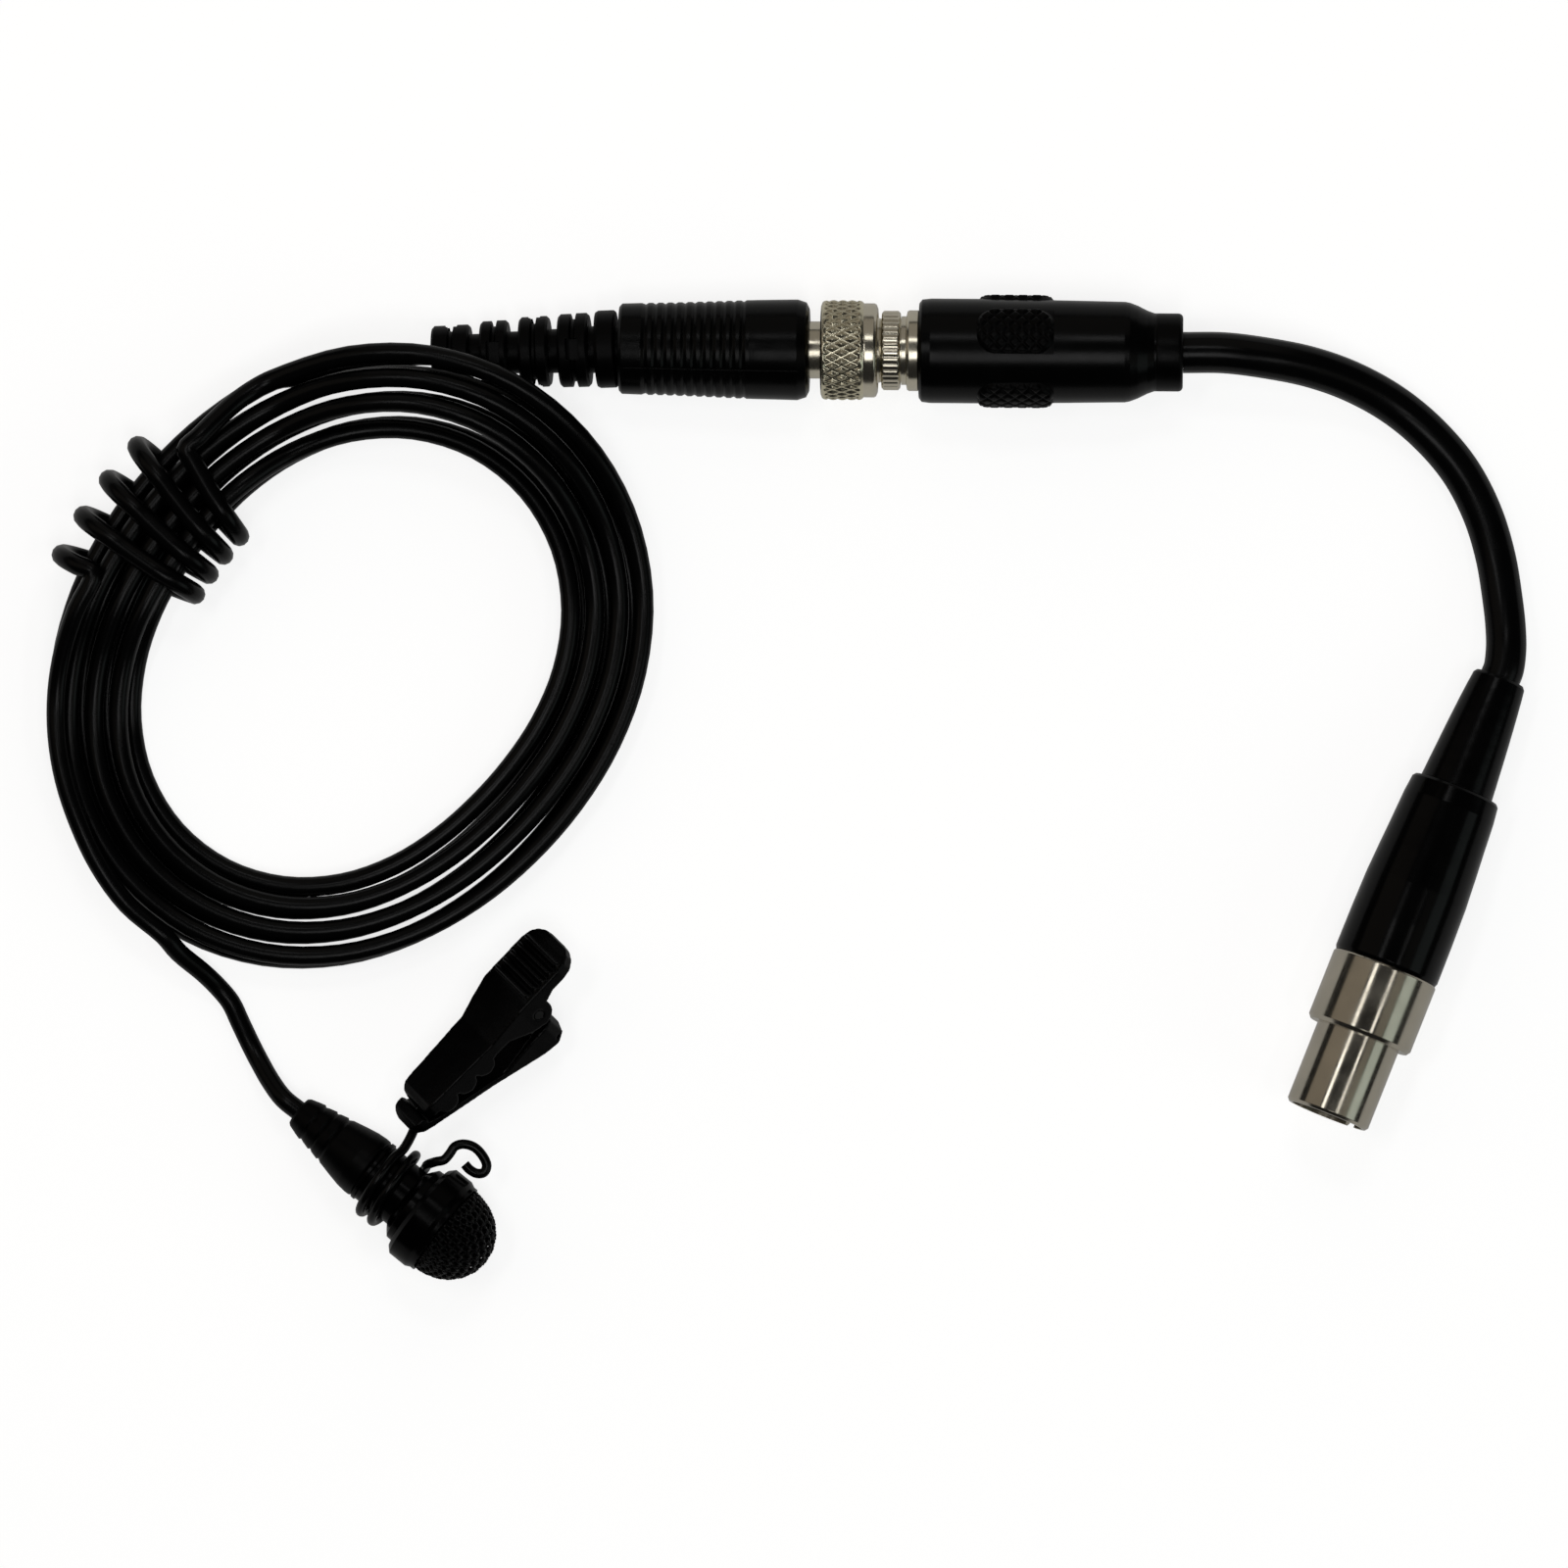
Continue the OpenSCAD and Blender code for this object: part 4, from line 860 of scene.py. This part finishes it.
@dataclass
class Plug:
    """The locking plug with its knurled nut. Millimetres along its own axis."""

    neck_r: float = 2.92
    nut_from: float = 20.6
    nut_len: float = 5.8
    nut_r: float = 5.1
    bore_r: float = 4.0
    recess: float = 1.0
    band: float = 4.4
    knurls: int = 34
    knurl_long: float = 1.9
    knurl_deep: float = 0.24
    run_out: float = 0.3
    barrel_len: float = 19.0
    parting_turn: float = 117.0

    def nut(self) -> bpy.types.Object:
        """Make the nut with diamond knurling on its band."""
        x0, x1 = self.nut_from, self.nut_from + self.nut_len
        band_to = x0 + self.band
        inner = self.neck_r + 0.05
        outline = [(inner, x0 + self.recess), (inner, x0 + 0.02)]
        outline += [(self.nut_r - 0.55, x0), (self.nut_r - 0.2, x0 + 0.14)]
        rows = 66
        knurl_from, knurl_to = x0 + 0.3, band_to - 0.25
        outline += [(self.nut_r, knurl_from + (knurl_to - knurl_from) * i / (rows - 1)) for i in range(rows)]
        collar = self.nut_r - 0.3
        outline += [(collar, band_to - 0.02), (collar - 0.03, band_to + 0.04), (collar, band_to + 0.1),
                    (collar, band_to + 0.16), (collar, x1 - 0.4), (collar - 0.01, x1 - 0.34),
                    (collar - 0.12, x1 - 0.16), (collar - 0.5, x1), (self.bore_r, x1),
                    (self.bore_r, x0 + self.recess), (inner, x0 + self.recess)]

        def cut(r: float, x: float, a: float) -> float:
            """Cut two ways of slanting grooves that leave long diamonds."""
            if r < self.nut_r:
                return 0.0
            fade = min(1.0, (x - knurl_from) / self.run_out, (knurl_to - x) / self.run_out)
            turns = self.knurls * a / math.tau
            ways = [abs(2 * ((turns + way * x / self.knurl_long) % 1.0) - 1) for way in (1, -1)]
            return self.knurl_deep * (1 - ease((min(ways) - 0.08) / 0.9)) * fade + 0.1 * (1 - fade)

        points, faces = revolve(PLUG, outline, self.knurls * 14, cut)
        piece = new_mesh("knurled_nut", points, faces, NICKEL, "nut")
        piece.data.materials.append(KNURL.material())
        frame_in = PLUG.matrix().inverted()
        for face in piece.data.polygons:
            face.material_index = int((frame_in @ face.center / MM).x < band_to)
        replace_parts(piece, "locking_nut")
        return piece

    def parting(self) -> None:
        """Lay the fine line that the mould leaves along the barrel."""
        turn = math.radians(self.parting_turn)
        line = []
        for i in range(75):
            x = 0.35 + 0.244 * i
            r = 4.67 + 0.48 * ease(x / self.barrel_len)
            line.append(PLUG.point(x, r * math.cos(turn), r * math.sin(turn)))
        new_mesh("barrel_parting", tube_points(line, 0.06 * MM, 6), tube_faces(len(line), 6), MOULDED,
                 "lead")

    def build(self) -> None:
        """Make and dress the plug."""
        self.parting()
        self.nut()
        dress(SOFT, "plug_relief")
        dress(MOULDED, "plug_barrel")
        dress(NICKEL, "plug_neck", "plug_sleeve", "plug_ring", "plug_tip")
        dress(INSULATOR, "plug_insulators")


@dataclass
class Adapter:
    """The adapter that the plug screws into. Millimetres along the plug's axis, and degrees."""

    barrel_r: float = 5.33
    pad_from: float = 36.5
    pad_len: float = 7.9
    pad_proud: float = 0.45
    pad_angle: float = 56.0
    pad_turn: float = -23.0
    pad_corner: float = 2.0
    pad_sunk: float = 0.08
    hatch: float = 1.0
    hatch_deep: float = 0.17
    ring_r: float = 4.05
    ring_from: float = 26.8
    ring_len: float = 1.9
    flutes: int = 32
    flute_deep: float = 0.1
    gland_r: float = 3.98
    gland_from: float = 54.8
    gland_len: float = 2.7

    def pads(self) -> bpy.types.Object:
        """Make the four hatched grip pads as one piece."""
        rows, columns = 96, 72
        foot, corner = self.barrel_r - self.pad_sunk, self.pad_corner
        half_x, half_a = self.pad_len / 2, math.radians(self.pad_angle / 2) * self.barrel_r
        points: list[Vector] = []
        faces: list[tuple[int, ...]] = []
        for pad in range(4):
            middle = math.radians(self.pad_turn + 90 * pad + 90)
            first = len(points)
            for i in range(rows):
                x = -half_x + 2 * half_x * i / (rows - 1)
                for k in range(columns):
                    w = -half_a + 2 * half_a * k / (columns - 1)
                    dx, dw = max(abs(x) - half_x + corner, 0), max(abs(w) - half_a + corner, 0)
                    inside = corner - math.hypot(dx, dw)
                    ways = [abs(2 * (((x + way * w) / self.hatch / 1.414) % 1.0) - 1) for way in (1, -1)]
                    groove = self.hatch_deep * (1 - ease(min(ways) / 0.48)) * ease((inside - 0.06) / 0.2)
                    r = foot + (self.pad_proud + self.pad_sunk) * ease(inside / 0.45) ** 0.6 - groove
                    a = middle + w / self.barrel_r
                    points.append(PLUG.point(self.pad_from + half_x + x, r * math.cos(a), r * math.sin(a)))
            faces += grid_faces(rows, columns, False, first)
        piece = new_mesh("hatched_pads", np.array(points, float), faces, SOFT, "adapter")
        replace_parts(piece, "grip_pads")
        return piece

    def gland(self) -> None:
        """Turn the gland with rounded edges, closed up to the barrel."""
        r, x0, x1 = self.gland_r, self.gland_from, self.gland_from + self.gland_len
        edge, turn = 0.5, math.pi / 12
        outline = [(r - 1.2, x0 - 4.6), (r - 1.2, x0 - 0.06), (r - 0.02, x0 - 0.05)]
        outline += [(r, x0 + 0.1), (r, x1 - edge)]
        outline += [(r - edge + edge * math.cos(k * turn), x1 - edge + edge * math.sin(k * turn))
                    for k in range(1, 7)]
        outline += [(2.3, x1), (2.06, x1 - 0.12), (2.06, x1 - 1.5)]
        points, faces = revolve(PLUG, outline)
        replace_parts(new_mesh("gland_moulded", points, faces, SOFT, "adapter"), "cable_gland")

    def ring(self) -> None:
        """Make the lock ring with its crowned ribs between chamfered rims."""
        r, x0, x1 = self.ring_r, self.ring_from, self.ring_from + self.ring_len
        rise = [(3.23, 0.0), (r - 0.26, 0.0), (r - 0.22, 0.02), (r - 0.03, 0.19), (r, 0.23), (r, 0.3)]
        outline = [(radius, x0 + x) for radius, x in rise] + [(radius, x1 - x) for radius, x in rise[::-1]]
        outline.append(outline[0])

        def cut(radius: float, _x: float, a: float) -> float:
            """Sink the surface from each rib's crest to the groove between two ribs."""
            if radius < r - 0.01:
                return 0.0
            across = abs((self.flutes * a / math.tau) % 1.0 - 0.5)
            return self.flute_deep * (2 * across) ** 2.4

        points, faces = revolve(PLUG, outline, self.flutes * 16, cut)
        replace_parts(new_mesh("fluted_ring", points, faces, NICKEL, "adapter"), "lock_ring")

    def build(self) -> None:
        """Make and dress the adapter."""
        self.pads()
        self.ring()
        dress(NICKEL, "socket_bush", "adapter_flange")
        dress(MOULDED, "adapter_barrel")
        self.gland()
        dress(INSULATOR, "socket_insulator")
        dress(GOLD, "socket_springs")


@dataclass
class Connector:
    """The round connector at the far end."""

    def build(self) -> None:
        """Dress the connector."""
        dress(BOOT, "connector_boot")
        dress(GLOSS, "connector_cover")
        dress(SHELL, "connector_shell", "latch_button")
        dress(INSULATOR, "contact_insert")
        dress(GOLD, "contact_sockets")
        dress(SPRING, "latch_spring")
        dress(STEEL, "cable_clamp")


# ------------------------------------------------------------------ studio


@dataclass
class Studio:
    """White floor, soft lamps and the camera of the photograph. Metres, apart from names that end in _mm."""

    middle_mm: tuple[float, float] = (35.95, 32.55)
    width_mm: float = 160.0
    focus_mm: float = 5.0
    distance: float = 1.2
    sensor: float = 36.0
    floor_reach: float = 3.0
    glow: float = 0.80
    sheen: float = 0.16
    dim: float = 0.02

    def camera(self) -> None:
        """Set the camera straight above, with a long lens."""
        data = bpy.data.cameras.new("camera")
        data.sensor_width = self.sensor
        data.lens = self.sensor * self.distance / (self.width_mm * MM)
        data.clip_end = 20.0
        holder = add_object("camera", data)
        holder.location = (self.middle_mm[0] * MM, self.middle_mm[1] * MM, self.distance + self.focus_mm * MM)
        bpy.context.scene.camera = holder

    def floor(self) -> None:
        """Lay a white floor that keeps the object's shadow."""
        mesh = bpy.data.meshes.new("floor")
        far = self.floor_reach
        mesh.from_pydata([(-far, -far, 0), (far, -far, 0), (far, far, 0), (-far, far, 0)], [], [(0, 1, 2, 3)])
        piece = add_object("floor", mesh)
        made = bpy.data.materials.new("floor_white")
        made.use_nodes = True
        tree = made.node_tree
        shader = tree.nodes["Principled BSDF"]
        shader.inputs["Base Color"].default_value = (0.9, 0.9, 0.9, 1)
        shader.inputs["Roughness"].default_value = 0.9
        shader.inputs["Specular IOR Level"].default_value = 0.1
        shader.inputs["Emission Color"].default_value = (1, 1, 1, 1)
        path = tree.nodes.new("ShaderNodeLightPath")
        sheen = tree.nodes.new("ShaderNodeMath")
        sheen.operation = "MULTIPLY"
        sheen.inputs[1].default_value = self.sheen
        glow = tree.nodes.new("ShaderNodeMath")
        glow.operation = "MULTIPLY_ADD"
        glow.inputs[1].default_value = self.glow
        tree.links.new(path.outputs["Is Glossy Ray"], sheen.inputs[0])
        tree.links.new(path.outputs["Is Camera Ray"], glow.inputs[0])
        tree.links.new(sheen.outputs["Value"], glow.inputs[2])
        tree.links.new(glow.outputs["Value"], shader.inputs["Emission Strength"])
        mesh.materials.append(made)

    def world(self) -> None:
        """Make the surroundings white to the camera, and dim in reflections and as light."""
        world = bpy.data.worlds.new("surroundings")
        bpy.context.scene.world = world
        world.use_nodes = True
        tree = world.node_tree
        ground = tree.nodes["Background"]
        ground.inputs["Color"].default_value = (1, 1, 1, 1)
        path = tree.nodes.new("ShaderNodeLightPath")
        strength = tree.nodes.new("ShaderNodeMapRange")
        strength.inputs["To Min"].default_value = self.dim
        strength.inputs["To Max"].default_value = 1.0
        tree.links.new(path.outputs["Is Camera Ray"], strength.inputs["Value"])
        tree.links.new(strength.outputs["Result"], ground.inputs["Strength"])

    def lamp(
        self,
        name: str,
        at: Point,
        towards: Point,
        size: tuple[float, float],
        watts: float,
        tint: Point = (1, 1, 1),
    ) -> None:
        """Hang one rectangular softbox.

        Args:
            name: the lamp's name.
            at: its place, in metres.
            towards: the point it faces.
            size: its level width and its height, in metres.
            watts: its power.
            tint: its colour.
        """
        data = bpy.data.lights.new(name, "AREA")
        data.shape = "RECTANGLE"
        data.size, data.size_y = size
        data.energy = watts
        data.color = tint
        holder = add_object(name, data)
        holder.location = at
        holder.rotation_euler = (Vector(towards) - Vector(at)).to_track_quat("-Z", "Y").to_euler()

    def lamps(self) -> None:
        """Hang the softboxes round the table."""
        aim = (self.middle_mm[0] * MM, self.middle_mm[1] * MM, 0.0)
        self.lamp("plug_front", (0.055, -0.178, 0.95), aim, (0.25, 0.34), 0.66)
        self.lamp("plug_back", (0.055, 0.553, 0.86), aim, (0.25, 0.14), 0.26)
        self.lamp("shell_right", (0.395, -0.108, 0.95), aim, (0.30, 0.075), 0.20)
        self.lamp("shell_left", (-0.238, 0.145, 0.90), aim, (0.30, 0.10), 0.30)
        self.lamp("wall_left", (-0.66, 0.27, 0.60), aim, (0.7, 0.85), 0.40, (1.0, 0.88, 0.74))
        self.lamp("wall_back", (0.05, 0.80, 0.42), aim, (0.9, 0.70), 0.40, (1.0, 0.93, 0.84))
        self.lamp("window_right", (0.898, -0.31, 0.50), aim, (0.6, 0.46), 0.49, (0.88, 1.0, 0.97))
        self.lamp("fill_right", (0.70, -0.23, 0.90), aim, (0.5, 0.36), 0.10, (1.0, 0.94, 0.82))

    def build(self) -> None:
        """Make the whole studio but the camera."""
        self.floor()
        self.world()
        self.lamps()
        bpy.context.scene.view_settings.view_transform = "Standard"


def main() -> None:
    """Build every piece of the scene in order."""
    logging.basicConfig(level=logging.INFO, format="%(name)s: %(message)s")
    studio = Studio()
    studio.camera()
    ThinLead().build()
    ThickLead().build()
    for part in (Head(), Clip(), Plug(), Adapter(), Connector()):
        part.build()
        LOG.info("%s done", type(part).__name__)
    studio.build()


if __name__ == "__main__":
    main()
